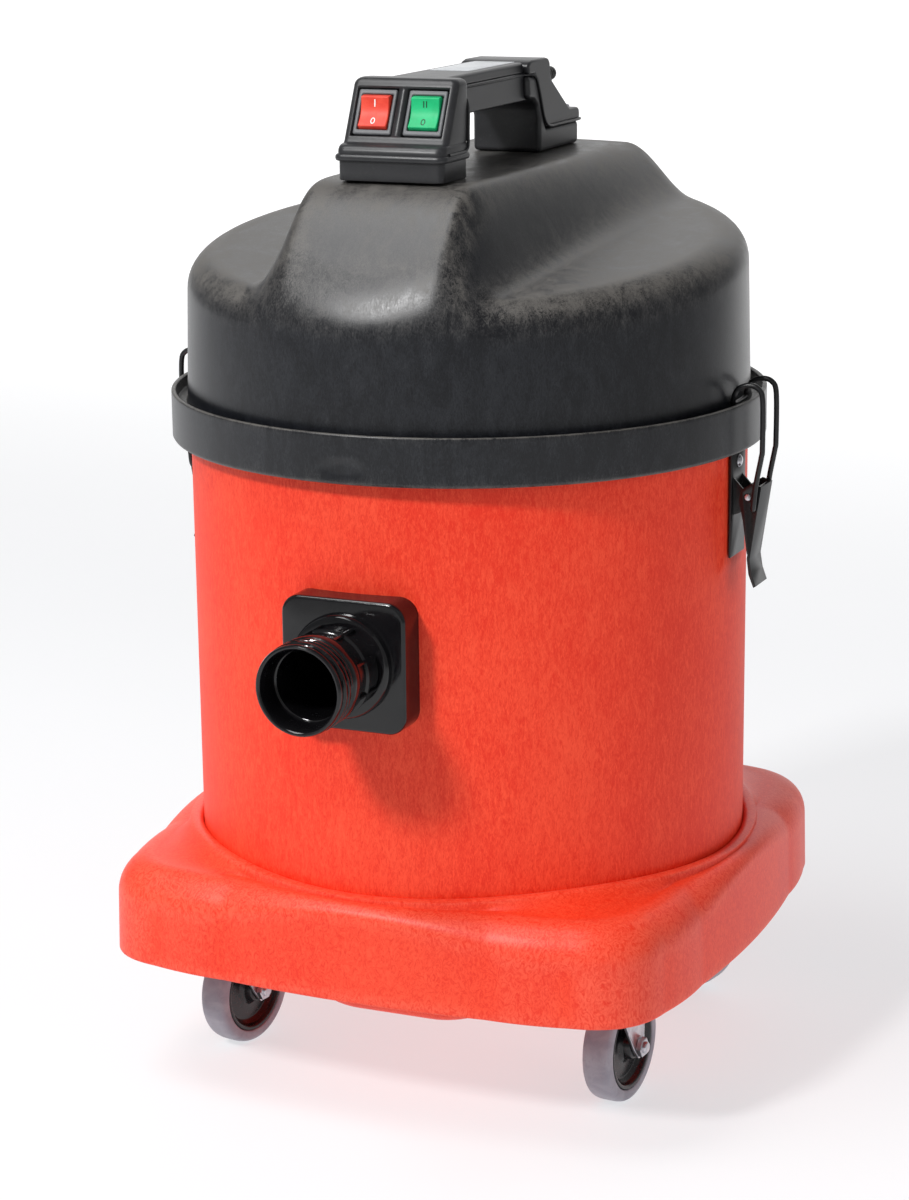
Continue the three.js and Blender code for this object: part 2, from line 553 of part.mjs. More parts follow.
for (const [side, turn] of [['right', 0], ['left', Math.PI]]) {
  const latch = new THREE.Group();
  latch.name = `latch_place_${side}`;
  latch.rotation.z = turn;
  machine.add(latch);
  add(`latch_bracket_${side}`, bracket, STEEL(), latch);
  add(`latch_lever_${side}`, lever, STEEL(), latch);
  add(`latch_pin_${side}`, acrossPin(2.2, 12, PIVOT_X, PIVOT_Z, 14), ZINC(), latch);
  add(`latch_bail_${side}`, bail.clone(), STEEL(), latch);
  const rivet = turnedAcross([[0, 0], [4, 0], [4, 1], [2.6, 2.2], [0, 2.2]], 14);
  add(`latch_rivet_${side}`, rivet, ZINC(), latch).position.set(PLATE_X + 1.9, 0, 408);
}

// ---------- casters ----------
const plate = union(
  solid(raised(roundedRectangle(27, 27, 5, 2), CASTER_TOP_Z - 2.8, CASTER_TOP_Z - GAP)),
  solid(turned([[0, 95.6], [17, 95.6], [20, 97.5], [20, CASTER_TOP_Z - 2], [0, CASTER_TOP_Z - 2]], 20)));
const forkLeg = [
  [-16, 92], [20, 92], [29, 84], [33, 62], [32, 40], [26, 29.5], [24, 29.5], [17, 38], [2, 62], [-16, 84],
];
const forkPlate = (low, high) => solid(pulledAcross(forkLeg, (high - low) / 2).translate((low + high) / 2, 0, 0));
const fork = union(
  solid(turned([[0, 84.5], [14, 84.5], [21.5, 90], [21.5, 94], [18, 95.3], [0, 95.3]], 20)),
  solid(box(-14.4, 14.4, -16, 20, 84.5, 88)),
  forkPlate(12.4, 14.4),
  forkPlate(-14.4, -12.4))
  .subtract(solid(turnedAcross([[0, -20], [4.3, -20], [4.3, 20], [0, 20]], 14)
    .translate(0, CASTER_TRAIL, WHEEL_R)));
const axle = turnedAcross([
  [0, -18.4], [5.6, -18.4], [5.6, -14.8], [3.9, -14.8], [3.9, 14.8], [6.2, 14.8], [6.2, 18], [4, 19.2],
  [0, 19.2],
], 10);
const hub = turnedAcross([
  [4.3, -11.6], [8.5, -11.6], [10, -6], [24, -4.2], [26.5, -9.2], [HUB_R, -9.2],
  [HUB_R, 9.2], [26.5, 9.2], [24, 4.2], [10, 6], [8.5, 11.6], [4.3, 11.6], [4.3, -11.6],
], 18);
const half = TYRE_WIDTH / 2;
const tyre = turnedAcross([
  [HUB_R + GAP, -half + 1], [WHEEL_R - 2.5, -half], [WHEEL_R - 0.5, -half + 2.4], [WHEEL_R, -half + 6],
  [WHEEL_R, half - 6], [WHEEL_R - 0.5, half - 2.4], [WHEEL_R - 2.5, half], [HUB_R + GAP, half - 1],
  [HUB_R + GAP, -half + 1],
], 24);
const CASTERS = [
  ['front_right', 1, -1, -5], ['front_left', -1, -1, -10], ['rear_right', 1, 1, 80], ['rear_left', -1, 1, -12],
];
for (const [place, sx, sy, turn] of CASTERS) {
  const stand = new THREE.Group();
  stand.name = `caster_${place}`;
  stand.position.set(sx * CASTER_X, sy * CASTER_Y, 0);
  machine.add(stand);
  add(`plate_${place}`, plate, ZINC(), stand);
  const swivel = new THREE.Group();
  swivel.name = `swivel_${place}`;
  swivel.rotation.z = THREE.MathUtils.degToRad(turn);
  stand.add(swivel);
  add(`fork_${place}`, fork, ZINC(), swivel);
  for (const [name, shape, material] of [
    ['axle', axle, ZINC()], ['hub', hub, paint(0x141416, 0.45)], ['tyre', tyre, paint(0x8a8790, 0.6)],
  ]) {
    add(`${name}_${place}`, shape.clone(), material, swivel).position.set(0, CASTER_TRAIL, WHEEL_R);
  }
}

export default vacuum;
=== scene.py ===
# %% [markdown]
# # A tub shop vacuum, finished in Blender
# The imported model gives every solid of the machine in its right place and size. This script keeps that
# frame, puts finer surfaces over it and gives each one a material. All shapes are worked out in
# millimetres about the drum's own axis, and turned into metres in the frame at the very end.

# %% Load the frame
import json
import bmesh
import bpy
import numpy as np
from mathutils import Matrix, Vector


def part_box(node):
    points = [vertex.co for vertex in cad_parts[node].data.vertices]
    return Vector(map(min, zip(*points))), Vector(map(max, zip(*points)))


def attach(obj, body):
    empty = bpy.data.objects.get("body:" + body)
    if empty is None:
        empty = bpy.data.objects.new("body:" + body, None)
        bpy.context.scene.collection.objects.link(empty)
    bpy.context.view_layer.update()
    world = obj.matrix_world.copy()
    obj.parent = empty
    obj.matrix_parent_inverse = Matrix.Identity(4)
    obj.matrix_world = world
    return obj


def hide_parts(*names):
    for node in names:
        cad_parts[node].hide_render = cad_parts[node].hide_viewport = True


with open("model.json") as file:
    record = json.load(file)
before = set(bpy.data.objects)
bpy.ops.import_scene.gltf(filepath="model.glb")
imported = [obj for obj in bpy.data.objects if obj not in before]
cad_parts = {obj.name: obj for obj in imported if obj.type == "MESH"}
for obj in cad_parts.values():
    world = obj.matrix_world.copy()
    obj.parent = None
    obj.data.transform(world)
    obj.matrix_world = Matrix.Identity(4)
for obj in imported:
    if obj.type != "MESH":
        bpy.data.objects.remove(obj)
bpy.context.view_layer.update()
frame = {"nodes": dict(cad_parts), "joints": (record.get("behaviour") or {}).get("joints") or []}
drum_low, drum_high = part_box("drum_body")
AXIS_Y = (drum_low[1] + drum_high[1]) / 2 * 1000

# %% [markdown]
# ## The camera
# The machine is seen from a little above, from its right front corner, with a long lens. The camera is
# placed first, because the rest of the work is judged through it. Its three directions are given as the
# columns of a turn: right, up and back.

# %% Camera
CAMERA_PLACE = (0.7854, -1.7973, 0.8046)
CAMERA_RIGHT = np.array([0.91947, 0.39305, -0.00978])
CAMERA_VIEW = np.array([-0.38339, 0.89081, -0.24387])
CAMERA_UP = np.cross(CAMERA_RIGHT, CAMERA_VIEW)

camera_data = bpy.data.cameras.new("camera")
camera_data.lens = 91.9
camera_data.sensor_fit = "VERTICAL"
camera_data.sensor_height = 36
camera_data.shift_x = -0.0140
camera_data.shift_y = -0.0070
camera = bpy.data.objects.new("camera", camera_data)
turn = np.column_stack([CAMERA_RIGHT, CAMERA_UP, -CAMERA_VIEW])
camera.matrix_world = Matrix.Translation(CAMERA_PLACE) @ Matrix(turn.tolist()).to_4x4()
bpy.context.scene.collection.objects.link(camera)
bpy.context.scene.camera = camera
print("camera", CAMERA_PLACE, "lens", camera_data.lens)

# %% [markdown]
# ## From arrays to meshes
# Every surface here is a grid of points, so one function can turn any of them into faces. The last column
# of each grid meets its first, so it is closed round. Points that fall on the same place, as at a pole,
# are merged afterwards, so nothing is left open.

# %% Grid faces
def quads(rows, columns):
    """Faces of a grid that closes on itself: each goes from a point to the next, then to the row above."""
    row = np.arange(rows - 1)[:, None]
    column = np.arange(columns)[None, :]
    near = row * columns + column
    far = row * columns + (column + 1) % columns
    return np.stack([near, far, far + columns, near + columns], axis=-1).reshape(-1, 4)


def surface(points):
    """A grid of shape (rows, columns, 3) as a flat list of points and its faces."""
    rows, columns = points.shape[:2]
    return points.reshape(-1, 3), quads(rows, columns)


# %% One function that makes every piece
def piece(name, surfaces, body, finish, replaces=(), sharp=35, bevel=0.0, outward=True, marks=None):
    """Joins surfaces given in millimetres about the drum axis into one object that rides on a body."""
    points = np.concatenate([np.asarray(s[0], float) for s in surfaces])
    faces = []
    start = 0
    for part_points, part_faces in surfaces:
        faces += [[start + int(i) for i in face] for face in part_faces] if isinstance(part_faces, list) \
            else (part_faces + start).tolist()
        start += len(part_points)
    mesh = bpy.data.meshes.new(name)
    mesh.from_pydata((points + (0, AXIS_Y, 0)) / 1000, [], faces)
    for mark, values in (marks or {}).items():
        layer = mesh.attributes.new(mark, "FLOAT", "POINT")
        layer.data.foreach_set("value", np.ascontiguousarray(values, dtype=np.float32).ravel())
    work = bmesh.new()
    work.from_mesh(mesh)
    bmesh.ops.remove_doubles(work, verts=work.verts, dist=2e-6)
    bmesh.ops.dissolve_degenerate(work, edges=work.edges, dist=1e-7)
    if outward:
        bmesh.ops.recalc_face_normals(work, faces=work.faces)
    work.to_mesh(mesh)
    work.free()
    mesh.shade_smooth()
    made = bpy.data.objects.new(name, mesh)
    bpy.context.scene.collection.objects.link(made)
    if bevel:
        rounding = made.modifiers.new("rounded edges", "BEVEL")
        rounding.width = bevel / 1000
        rounding.segments = 3
        rounding.limit_method = "ANGLE"
        rounding.angle_limit = np.radians(32)
        rounding.harden_normals = True
    else:
        mesh.set_sharp_from_angle(angle=np.radians(sharp))
    mesh.materials.append(finish)
    if replaces:
        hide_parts(*replaces)
    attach(made, body)
    print(name, "faces", len(mesh.polygons))
    return made


# %% [markdown]
# ## Shapes that come back again and again
# Most of this machine is turned, pulled or bent: a round drum, a plate pulled across, a wire bent round.
# Each of those is one short function on arrays.

# %% Turned shapes
def lathe(profile, sides=64):
    """Turns a profile of (radius, height) about an axis: point = radius*(cos a, sin a), height up."""
    radius, height = np.asarray(profile, float).T
    angle = np.linspace(0, 2 * np.pi, sides, endpoint=False)
    x = radius[:, None] * np.cos(angle)
    y = radius[:, None] * np.sin(angle)
    z = np.broadcast_to(height[:, None], x.shape)
    return np.stack([x, y, z], axis=-1)


def facing_front(points):
    """Turns a shape made about +Z so that its axis runs along -Y."""
    x, y, z = np.moveaxis(points, -1, 0)
    return np.stack([x, -z, y], axis=-1)


def facing_right(points):
    """Turns a shape made about +Z so that its axis runs along +X."""
    x, y, z = np.moveaxis(points, -1, 0)
    return np.stack([z, x, y], axis=-1)


def smooth_profile(corners, radius, steps=5):
    """An open profile whose inner corners are rounded: each becomes a run of a quadratic curve."""
    corners = np.asarray(corners, float)
    radius = np.broadcast_to(radius, len(corners))
    t = np.linspace(0, 1, steps)[:, None]
    run = [corners[:1]]
    for before, here, after, r in zip(corners, corners[1:], corners[2:], radius[1:]):
        back, ahead = before - here, after - here
        a = here + back * min(0.49, r / np.linalg.norm(back))
        b = here + ahead * min(0.49, r / np.linalg.norm(ahead))
        run.append(a * (1 - t) ** 2 + here * 2 * t * (1 - t) + b * t ** 2)
    return np.concatenate(run + [corners[-1:]])


# %% Pulled and lofted shapes
def rounded_ring(half_x, half_y, radius, per_corner=8):
    """A rounded rectangle, counter-clockwise: four quarter turns about its four corner centres."""
    turn = (np.arange(4)[:, None] * np.pi / 2 + np.linspace(0, np.pi / 2, per_corner)).ravel()
    side_x = np.repeat([1, -1, -1, 1], per_corner)
    side_y = np.repeat([1, 1, -1, -1], per_corner)
    x = side_x * (half_x - radius) + radius * np.cos(turn)
    y = side_y * (half_y - radius) + radius * np.sin(turn)
    return x, y


def tower(rows, per_corner=8):
    """A loft of rounded rectangles, closed at both ends. A row: height, half width, front, back, corner."""
    z, half, front, back, corner = np.asarray(rows, float).T[:, :, None]
    x, y = rounded_ring(half, (back - front) / 2, corner, per_corner)
    y = y + (front + back) / 2
    grid = np.stack([x, y, np.broadcast_to(z, x.shape)], axis=-1)
    ends = [np.broadcast_to(grid[i].mean(axis=0), grid[i].shape)[None] for i in (0, -1)]
    return surface(np.concatenate([ends[0], grid, ends[1]]))


def pulled(profile, low, high, plane="yz"):
    """A closed outline pulled along the axis that its plane leaves out, with a flat cap at each end."""
    profile = np.asarray(profile, float)
    count = len(profile)
    places = {"yz": (1, 2, 0), "xy": (0, 1, 2)}[plane]
    points = np.zeros((2 * count, 3))
    for end, level in enumerate((low, high)):
        points[end * count:(end + 1) * count, places[0]] = profile[:, 0]
        points[end * count:(end + 1) * count, places[1]] = profile[:, 1]
        points[end * count:(end + 1) * count, places[2]] = level
    caps = [list(range(count))[::-1], list(range(count, 2 * count))]
    return points, quads(2, count).tolist() + caps


def rounded_outline(corners, radius, steps=5):
    """A closed outline whose corners are rounded, as smooth_profile does for an open one."""
    corners = np.asarray(corners, float)
    around = np.concatenate([corners[-1:], corners, corners[:1]])
    radius = np.broadcast_to(radius, len(corners))
    return smooth_profile(around, np.concatenate([[0], radius, [0]]), steps)[1:-1]


# %% Bent wires
def smooth_path(points, count):
    """A Catmull-Rom curve through points, taken at even spacing."""
    points = np.asarray(points, float)
    padded = np.concatenate([2 * points[:1] - points[1:2], points, 2 * points[-1:] - points[-2:-1]])
    t = np.linspace(0, 1, 24, endpoint=False)[:, None]
    p0, p1, p2, p3 = (padded[i:len(padded) - 3 + i, None, :] for i in range(4))
    bend = 0.5 * (2 * p1 + (p2 - p0) * t + (2 * p0 - 5 * p1 + 4 * p2 - p3) * t ** 2
                  + (3 * p1 - p0 - 3 * p2 + p3) * t ** 3)
    fine = np.concatenate([bend.reshape(-1, 3), points[-1:]])
    length = np.concatenate([[0], np.cumsum(np.linalg.norm(np.diff(fine, axis=0), axis=1))])
    where = np.linspace(0, length[-1], count)
    return np.stack([np.interp(where, length, fine[:, i]) for i in range(3)], axis=-1)


def tube(path, radius, sides=10):
    """A round wire: at each place on the path a circle square to it, carried on without twist."""
    ahead = np.gradient(path, axis=0)
    ahead /= np.linalg.norm(ahead, axis=1, keepdims=True)
    across = np.empty_like(path)
    across[0] = np.cross(ahead[0], (0.3, 0.2, 0.93))
    for i in range(1, len(path)):
        across[i] = across[i - 1] - ahead[i] * (across[i - 1] @ ahead[i])
        across[i] /= np.linalg.norm(across[i])
    across[0] /= np.linalg.norm(across[0])
    up = np.cross(ahead, across)
    angle = np.linspace(0, 2 * np.pi, sides, endpoint=False)[None, :, None]
    ring = across[:, None, :] * np.cos(angle) + up[:, None, :] * np.sin(angle)
    size = np.broadcast_to(radius, len(path))[:, None, None]
    grid = path[:, None, :] + ring * size
    ends = [np.broadcast_to(path[i], grid[i].shape)[None] for i in (0, -1)]
    return surface(np.concatenate([ends[0], grid, ends[1]]))


def smooth_step(low, high, value):
    """0 below low, 1 above high, and 3t^2 - 2t^3 between them."""
    t = np.clip((value - low) / (high - low), 0, 1)
    return t * t * (3 - 2 * t)


# %% [markdown]
# ## How worn an edge is
# Moulded plastic is rubbed pale where it stands proud. How far a point stands out of the mean of its
# neighbours measures that, so it is worked out on the grid and kept on the mesh for the material.

# %% Edge wear
def surface_mark(grid, reach=3, scale=0.5):
    """How far each point stands proud of the mean of its neighbours, in scale millimetres, 0 to 1."""
    padded = np.concatenate([grid[:1].repeat(reach, 0), grid, grid[-1:].repeat(reach, 0)])
    above, below = padded[2 * reach:], padded[:-2 * reach]
    left, right = np.roll(grid, reach, axis=1), np.roll(grid, -reach, axis=1)
    normal = np.cross(right - left, above - below)
    normal /= np.maximum(np.linalg.norm(normal, axis=-1, keepdims=True), 1e-9)
    proud = ((grid - (above + below + left + right) / 4) * normal).sum(axis=-1)
    return np.clip(proud / scale, 0, 1)


def facing_up(grid):
    """0 on walls and hems, 1 where the surface lies level: dust and hands leave their marks there, and the
    head's painted sheen lies there too.
    """
    down_row = np.gradient(grid, axis=0)
    round_row = np.roll(grid, -1, axis=1) - np.roll(grid, 1, axis=1)
    normal = np.cross(round_row, down_row)
    level_part = np.abs(normal[..., 2]) / np.maximum(np.linalg.norm(normal, axis=-1), 1e-9)
    level_part[-3:] = level_part[-4]  # the rows at the pole are too short to measure
    return smooth_step(0.15, 0.95, level_part)


# %% [markdown]
# ## Shader maths as plain expressions
# A socket wrapped in a small class can be added, multiplied and taken away like a number, and each sum
# puts its own Math node into the material. Any other node comes from one method.

# %% The socket class
class Shade:
    """One output socket. Arithmetic on it adds Math nodes; make adds any other node."""

    def __init__(self, tree, socket=None):
        self.tree = tree
        self.socket = socket

    def make(self, kind, inputs=None, output=0, **settings):
        """Adds a node of that kind: its settings first, then a value or a link for each named input."""
        node = self.tree.nodes.new("ShaderNode" + kind)
        for name, value in settings.items():
            setattr(node, name, value)
        for name, value in (inputs or {}).items():
            if isinstance(value, Shade):
                self.tree.links.new(value.socket, node.inputs[name])
            else:
                node.inputs[name].default_value = value
        return Shade(self.tree, node.outputs[output])

    def maths(self, operation, *values):
        return self.make("Math", dict(enumerate(values)), operation=operation)

    def __add__(self, other):
        return self.maths("ADD", self, other)

    __radd__ = __add__

    def __mul__(self, other):
        return self.maths("MULTIPLY", self, other)

    __rmul__ = __mul__

    def __sub__(self, other):
        return self.maths("SUBTRACT", self, other)

    def __rsub__(self, other):
        return self.maths("SUBTRACT", other, self)

    def between(self, low, high):
        """0 where the value is below low, 1 where it is above high, and smooth between."""
        inputs = {"Value": self, "From Min": low, "From Max": high}
        return self.make("MapRange", inputs, interpolation_type="SMOOTHSTEP")

    def blend(self, low, high):
        """Mixes two colours by this value."""
        return self.make("Mix", {0: self, 6: low, 7: high}, output=2, data_type="RGBA")


def grain(here, scale, stretch=(1, 1, 1), detail=4.0, roughness=0.6, distortion=0.0, turned=(0, 0, 0)):
    """Noise on the object's own coordinates, with scale in waves per metre, squeezed by stretch."""
    place = here.make("Mapping", {"Vector": here, "Scale": stretch, "Rotation": turned})
    inputs = {"Vector": place, "Scale": scale, "Detail": detail, "Roughness": roughness,
              "Distortion": distortion}
    return here.make("TexNoise", inputs)


def colour(red, green, blue):
    return (red, green, blue, 1.0)


def finish(name, recipe):
    """A material from a recipe: a function of the object coordinates that gives the shader's inputs."""
    material = bpy.data.materials.new(name)
    material.use_nodes = True
    tree = material.node_tree
    tree.nodes.clear()
    here = Shade(tree).make("TexCoord", output="Object")
    shader = here.make("BsdfPrincipled", recipe(here))
    tree.links.new(shader.socket, tree.nodes.new("ShaderNodeOutputMaterial").inputs["Surface"])
    return material


def bumps(here, height, distance, strength=1.0):
    """A normal from a height, in millimetres."""
    return here.make("Bump", {"Height": height, "Distance": distance / 1000, "Strength": strength})


# %% [markdown]
# ## The moulded red plastic
# The drum and the base are turned in a hot mould with powder inside. The powder melts in fine fibres and
# leaves a mottled skin, pale where the mould was cooler. On the drum the fibres run down; on the base
# they lie every way, so it gets a second, more twisted recipe.

# %% Red plastic
def red_skin(down, twist, rough, long_fibres):
    def recipe(here):
        fibres = grain(here, 850, (1, 1, down), 3, 0.65, twist)
        strands = grain(here, 200, (1, 1, down), 4, 0.6, twist * 1.5)
        cloud = grain(here, 14, (1, 1, 0.6), 4, 0.55, 0.4)
        specks = grain(here, 2400, (1, 1, 0.5), 2, 0.5)
        fleck = fibres * (0.8 - long_fibres) + strands * long_fibres + cloud * 0.2
        mesh_mark = here.make("Attribute", attribute_name="surface_mark", output="Fac")
        base = fleck.between(0.39, 0.62).blend(colour(0.82, 0.028, 0.007), colour(0.97, 0.080, 0.030))
        pale = (mesh_mark * strands.between(0.3, 0.6) * 0.22).blend(base, colour(0.93, 0.20, 0.13))
        height = fibres * 0.6 + specks * 0.4
        return {
            "Base Color": pale,
            "Roughness": rough + fleck * 0.16 + specks * 0.06,
            "Normal": bumps(here, height, 0.09, 0.55),
            "Specular IOR Level": 0.34,
        }
    return recipe


RED_DRUM = finish("red drum plastic", red_skin(0.30, 1.2, 0.44, 0.3))
RED_BASE = finish("red base plastic", red_skin(0.6, 2.2, 0.31, 0.5))

# %% [markdown]
# ## The moulded black plastic
# The head comes from the same kind of mould in black: a cloudy, fibrous skin that goes brown-grey where
# hands and hoses rub it. On its level surfaces the same brown-grey is dust and a painted sheen. The mark on
# the mesh tells where both are.

# %% Black head plastic
def black_skin(here):
    fibres = grain(here, 620, (1, 1, 0.35), 5, 0.7, 2.0)
    swirl = grain(here, 60, (1, 1, 0.5), 5, 0.62, 1.4)
    cloud = grain(here, 9, (1, 1, 0.8), 3, 0.5, 0.6)
    pores = grain(here, 3000, detail=2, roughness=0.5)
    mesh_mark = here.make("Attribute", attribute_name="surface_mark", output="Fac")
    fleck = fibres * 0.55 + swirl * 0.3 + cloud * 0.15
    base = fleck.between(0.42, 0.60).blend(colour(0.0040, 0.0045, 0.0065), colour(0.0150, 0.0165, 0.0205))
    # Brown-grey rub on proud edges, and dust with a painted sheen on level surfaces, both read from the mesh
    # mark.
    rub_and_sheen = (mesh_mark * (1 + (fibres - 0.5) * 3.4 + (swirl - 0.5) * 2.4)).between(0.12, 1.35)
    scuff = (swirl * fibres).between(0.33, 0.42)
    tint = (rub_and_sheen * 0.85 + scuff * 0.06).blend(base, colour(0.120, 0.112, 0.102))
    return {
        "Base Color": tint,
        "Roughness": 0.22 + fleck * 0.18 + rub_and_sheen * 0.22,
        "Normal": bumps(here, fibres * 0.6 + pores * 0.4, 0.10, 0.6),
        "Specular IOR Level": 0.50,
    }


BLACK_HEAD = finish("black head plastic", black_skin)


# %% [markdown]
# ## The smaller finishes
# Injection-moulded parts have a fine even spark texture, the hose inlet is polished, the latch is black
# coated steel and the casters are bright zinc. Each recipe changes colour, gloss and relief a little over
# the surface, at the scale the real finish has.

# %% Fine-textured and glossy plastics
def moulded(dark, light, rough, relief=0.05, scale=2600):
    def recipe(here):
        spark = grain(here, scale, detail=3, roughness=0.6)
        cloud = grain(here, 38, detail=4, roughness=0.6, distortion=0.5)
        dust = grain(here, 420, detail=5, roughness=0.75, distortion=0.3).between(0.56, 0.78)
        base = (cloud * 0.6 + spark * 0.4).between(0.3, 0.7).blend(dark, light)
        return {
            "Base Color": (dust * 0.10).blend(base, colour(0.30, 0.30, 0.30)),
            "Roughness": rough + cloud * 0.10 + dust * 0.12,
            "Normal": bumps(here, spark, relief, 0.5),
        }
    return recipe


SATIN = finish("satin black plastic",
               moulded(colour(0.014, 0.0145, 0.0165), colour(0.026, 0.0265, 0.029), 0.32))
GREY = finish("grey bezel plastic", moulded(colour(0.085, 0.088, 0.095), colour(0.13, 0.134, 0.142), 0.40))
HUB = finish("black hub plastic",
             moulded(colour(0.006, 0.006, 0.007), colour(0.014, 0.013, 0.015), 0.20, 0.02))
GLAND = finish("gland rubber", moulded(colour(0.010, 0.010, 0.011), colour(0.022, 0.022, 0.023), 0.50))
DARK = finish("inner black plastic", moulded(colour(0.008, 0.008, 0.009), colour(0.018, 0.018, 0.019), 0.55))
LABEL = finish("label film", moulded(colour(0.44, 0.46, 0.48), colour(0.60, 0.62, 0.64), 0.30, 0.01, 900))


# %% Polished inlet and switch caps
def polished(here):
    flow = grain(here, 30, (1, 0.4, 1), 3, 0.5, 0.8)
    haze = grain(here, 500, detail=5, roughness=0.7)
    scratch = grain(here, 900, (0.05, 1, 1), 3, 0.7, 0.4, (0.3, 0.2, 0.6)).between(0.63, 0.72)
    base = flow.between(0.3, 0.7).blend(colour(0.0035, 0.0035, 0.0045), colour(0.008, 0.0075, 0.0085))
    return {
        "Base Color": base,
        "Roughness": 0.10 + haze.between(0.4, 0.8) * 0.10 + scratch * 0.18,
        "Normal": bumps(here, flow * 0.7 + haze * 0.3, 0.06, 0.25),
        "Coat Weight": 0.15,
        "Specular IOR Level": 0.38,
    }


def switch_cap(deep, bright):
    def recipe(here):
        spark = grain(here, 2200, detail=3, roughness=0.6)
        cloud = grain(here, 90, detail=3, roughness=0.5)
        finger = grain(here, 300, (1, 1, 0.5), 5, 0.7, 0.6).between(0.5, 0.75)
        return {
            "Base Color": (cloud * 0.7 + spark * 0.3).between(0.3, 0.7).blend(deep, bright),
            "Roughness": 0.42 + finger * 0.16 + spark * 0.05,
            "Specular IOR Level": 0.3,
            "Normal": bumps(here, spark, 0.03, 0.35),
        }
    return recipe


GLOSS = finish("polished black plastic", polished)
CAP_RED = finish("red switch plastic", switch_cap(colour(0.70, 0.045, 0.025), colour(0.82, 0.085, 0.05)))
CAP_GREEN = finish("green switch plastic", switch_cap(colour(0.005, 0.40, 0.14), colour(0.012, 0.52, 0.20)))
MARK_WHITE = finish("white print", switch_cap(colour(0.80, 0.80, 0.78), colour(0.88, 0.88, 0.86)))
MARK_DARK = finish("dark print", switch_cap(colour(0.010, 0.05, 0.02), colour(0.014, 0.07, 0.03)))


# %% Metals and rubber
def coated_steel(here):
    orange = grain(here, 1100, detail=3, roughness=0.6)
    chips = grain(here, 240, detail=5, roughness=0.75).between(0.66, 0.72)
    base = orange.between(0.35, 0.65).blend(colour(0.006, 0.006, 0.007), colour(0.014, 0.014, 0.015))
    return {
        "Base Color": (chips * 0.5).blend(base, colour(0.16, 0.155, 0.15)),
        "Metallic": chips * 0.6,
        "Roughness": 0.24 + orange * 0.14 + chips * 0.15,
        "Normal": bumps(here, orange, 0.05, 0.5),
    }


def bright_zinc(here):
    cloud = grain(here, 120, detail=4, roughness=0.6, distortion=0.8)
    brush = grain(here, 1500, (1, 1, 0.06), 3, 0.6)
    spots = grain(here, 420, detail=5, roughness=0.7).between(0.60, 0.74)
    base = cloud.between(0.3, 0.7).blend(colour(0.50, 0.50, 0.54), colour(0.74, 0.73, 0.76))
    return {
        "Base Color": (spots * 0.35).blend(base, colour(0.30, 0.29, 0.30)),
        "Metallic": 1.0,
        "Roughness": 0.22 + brush * 0.16 + spots * 0.20,
        "Normal": bumps(here, brush * 0.6 + cloud * 0.4, 0.03, 0.5),
    }


def tyre_rubber(here):
    cloud = grain(here, 60, detail=4, roughness=0.6, distortion=0.6)
    grit = grain(here, 1400, detail=3, roughness=0.6)
    scuff = grain(here, 260, (1, 1, 1), 5, 0.75, 0.5).between(0.56, 0.72)
    base = cloud.between(0.3, 0.7).blend(colour(0.27, 0.255, 0.30), colour(0.36, 0.345, 0.39))
    return {
        "Base Color": (scuff * 0.28).blend(base, colour(0.13, 0.12, 0.125)),
        "Roughness": 0.46 + grit * 0.14 + scuff * 0.12,
        "Normal": bumps(here, grit * 0.5 + cloud * 0.5, 0.06, 0.45),
    }


def felt(here):
    hair = grain(here, 1600, detail=5, roughness=0.8, distortion=1.0)
    cloud = grain(here, 50, detail=4, roughness=0.6)
    tuft = (hair * 0.6 + cloud * 0.4).between(0.3, 0.7)
    return {
        "Base Color": tuft.blend(colour(0.55, 0.52, 0.45), colour(0.72, 0.69, 0.62)),
        "Roughness": 0.85 + hair * 0.1,
        "Normal": bumps(here, hair, 0.2, 0.8),
    }


STEEL = finish("black coated steel", coated_steel)
ZINC = finish("bright zinc", bright_zinc)
TYRE = finish("grey wheel rubber", tyre_rubber)
FELT = finish("filter felt", felt)
print("materials", len(bpy.data.materials))

# %% [markdown]
# ## The base
# The base is one red moulding: four nearly straight sides that bow out a little in the middle, big soft
# corners, and a raised bead round the drum's foot. In plan every level is a closed line given by its
# distance from the drum axis at each angle, so the whole moulding is one grid of levels and angles, from
# the middle of its underside, round the hem, over the top and down beside the drum.

# %% Base outline
BASE_COLUMNS = 360
around = np.linspace(0, 2 * np.pi, BASE_COLUMNS, endpoint=False)
MID, CORNER = 207.3, 185.5
corners = [(MID, 0), (CORNER, CORNER), (0, MID), (-CORNER, CORNER),
           (-MID, 0), (-CORNER, -CORNER), (0, -MID), (CORNER, -CORNER)]
dense = rounded_outline(corners, np.array([110, 48, 110, 48, 110, 48, 110, 48]) * 0.85, 24)
dense_angle = np.arctan2(dense[:, 1], dense[:, 0])
order = np.argsort(dense_angle)
base_edge = np.interp(around, dense_angle[order], np.hypot(*dense.T)[order], period=2 * np.pi)
print("base reaches", round(base_edge.min(), 1), "to", round(base_edge.max(), 1), "mm from the axis")


# %% Base moulding
BEAD_R, WELL_R = 191.5, 182.9
HEM_Z, UNDER_Z, WELL_Z = 86.0, 104, 112
BASE_WALL = 4.5
diagonal = np.sin(2 * around) ** 2
collar_z = 153.4 + 4.0 * diagonal
shelf_z = 150.2 - 1.2 * diagonal
room = base_edge - BEAD_R
edge_round = np.minimum(24.0, room * 0.9)
levels = []


def level(radius, height):
    levels.append((np.broadcast_to(radius, around.shape), np.broadcast_to(height, around.shape)))


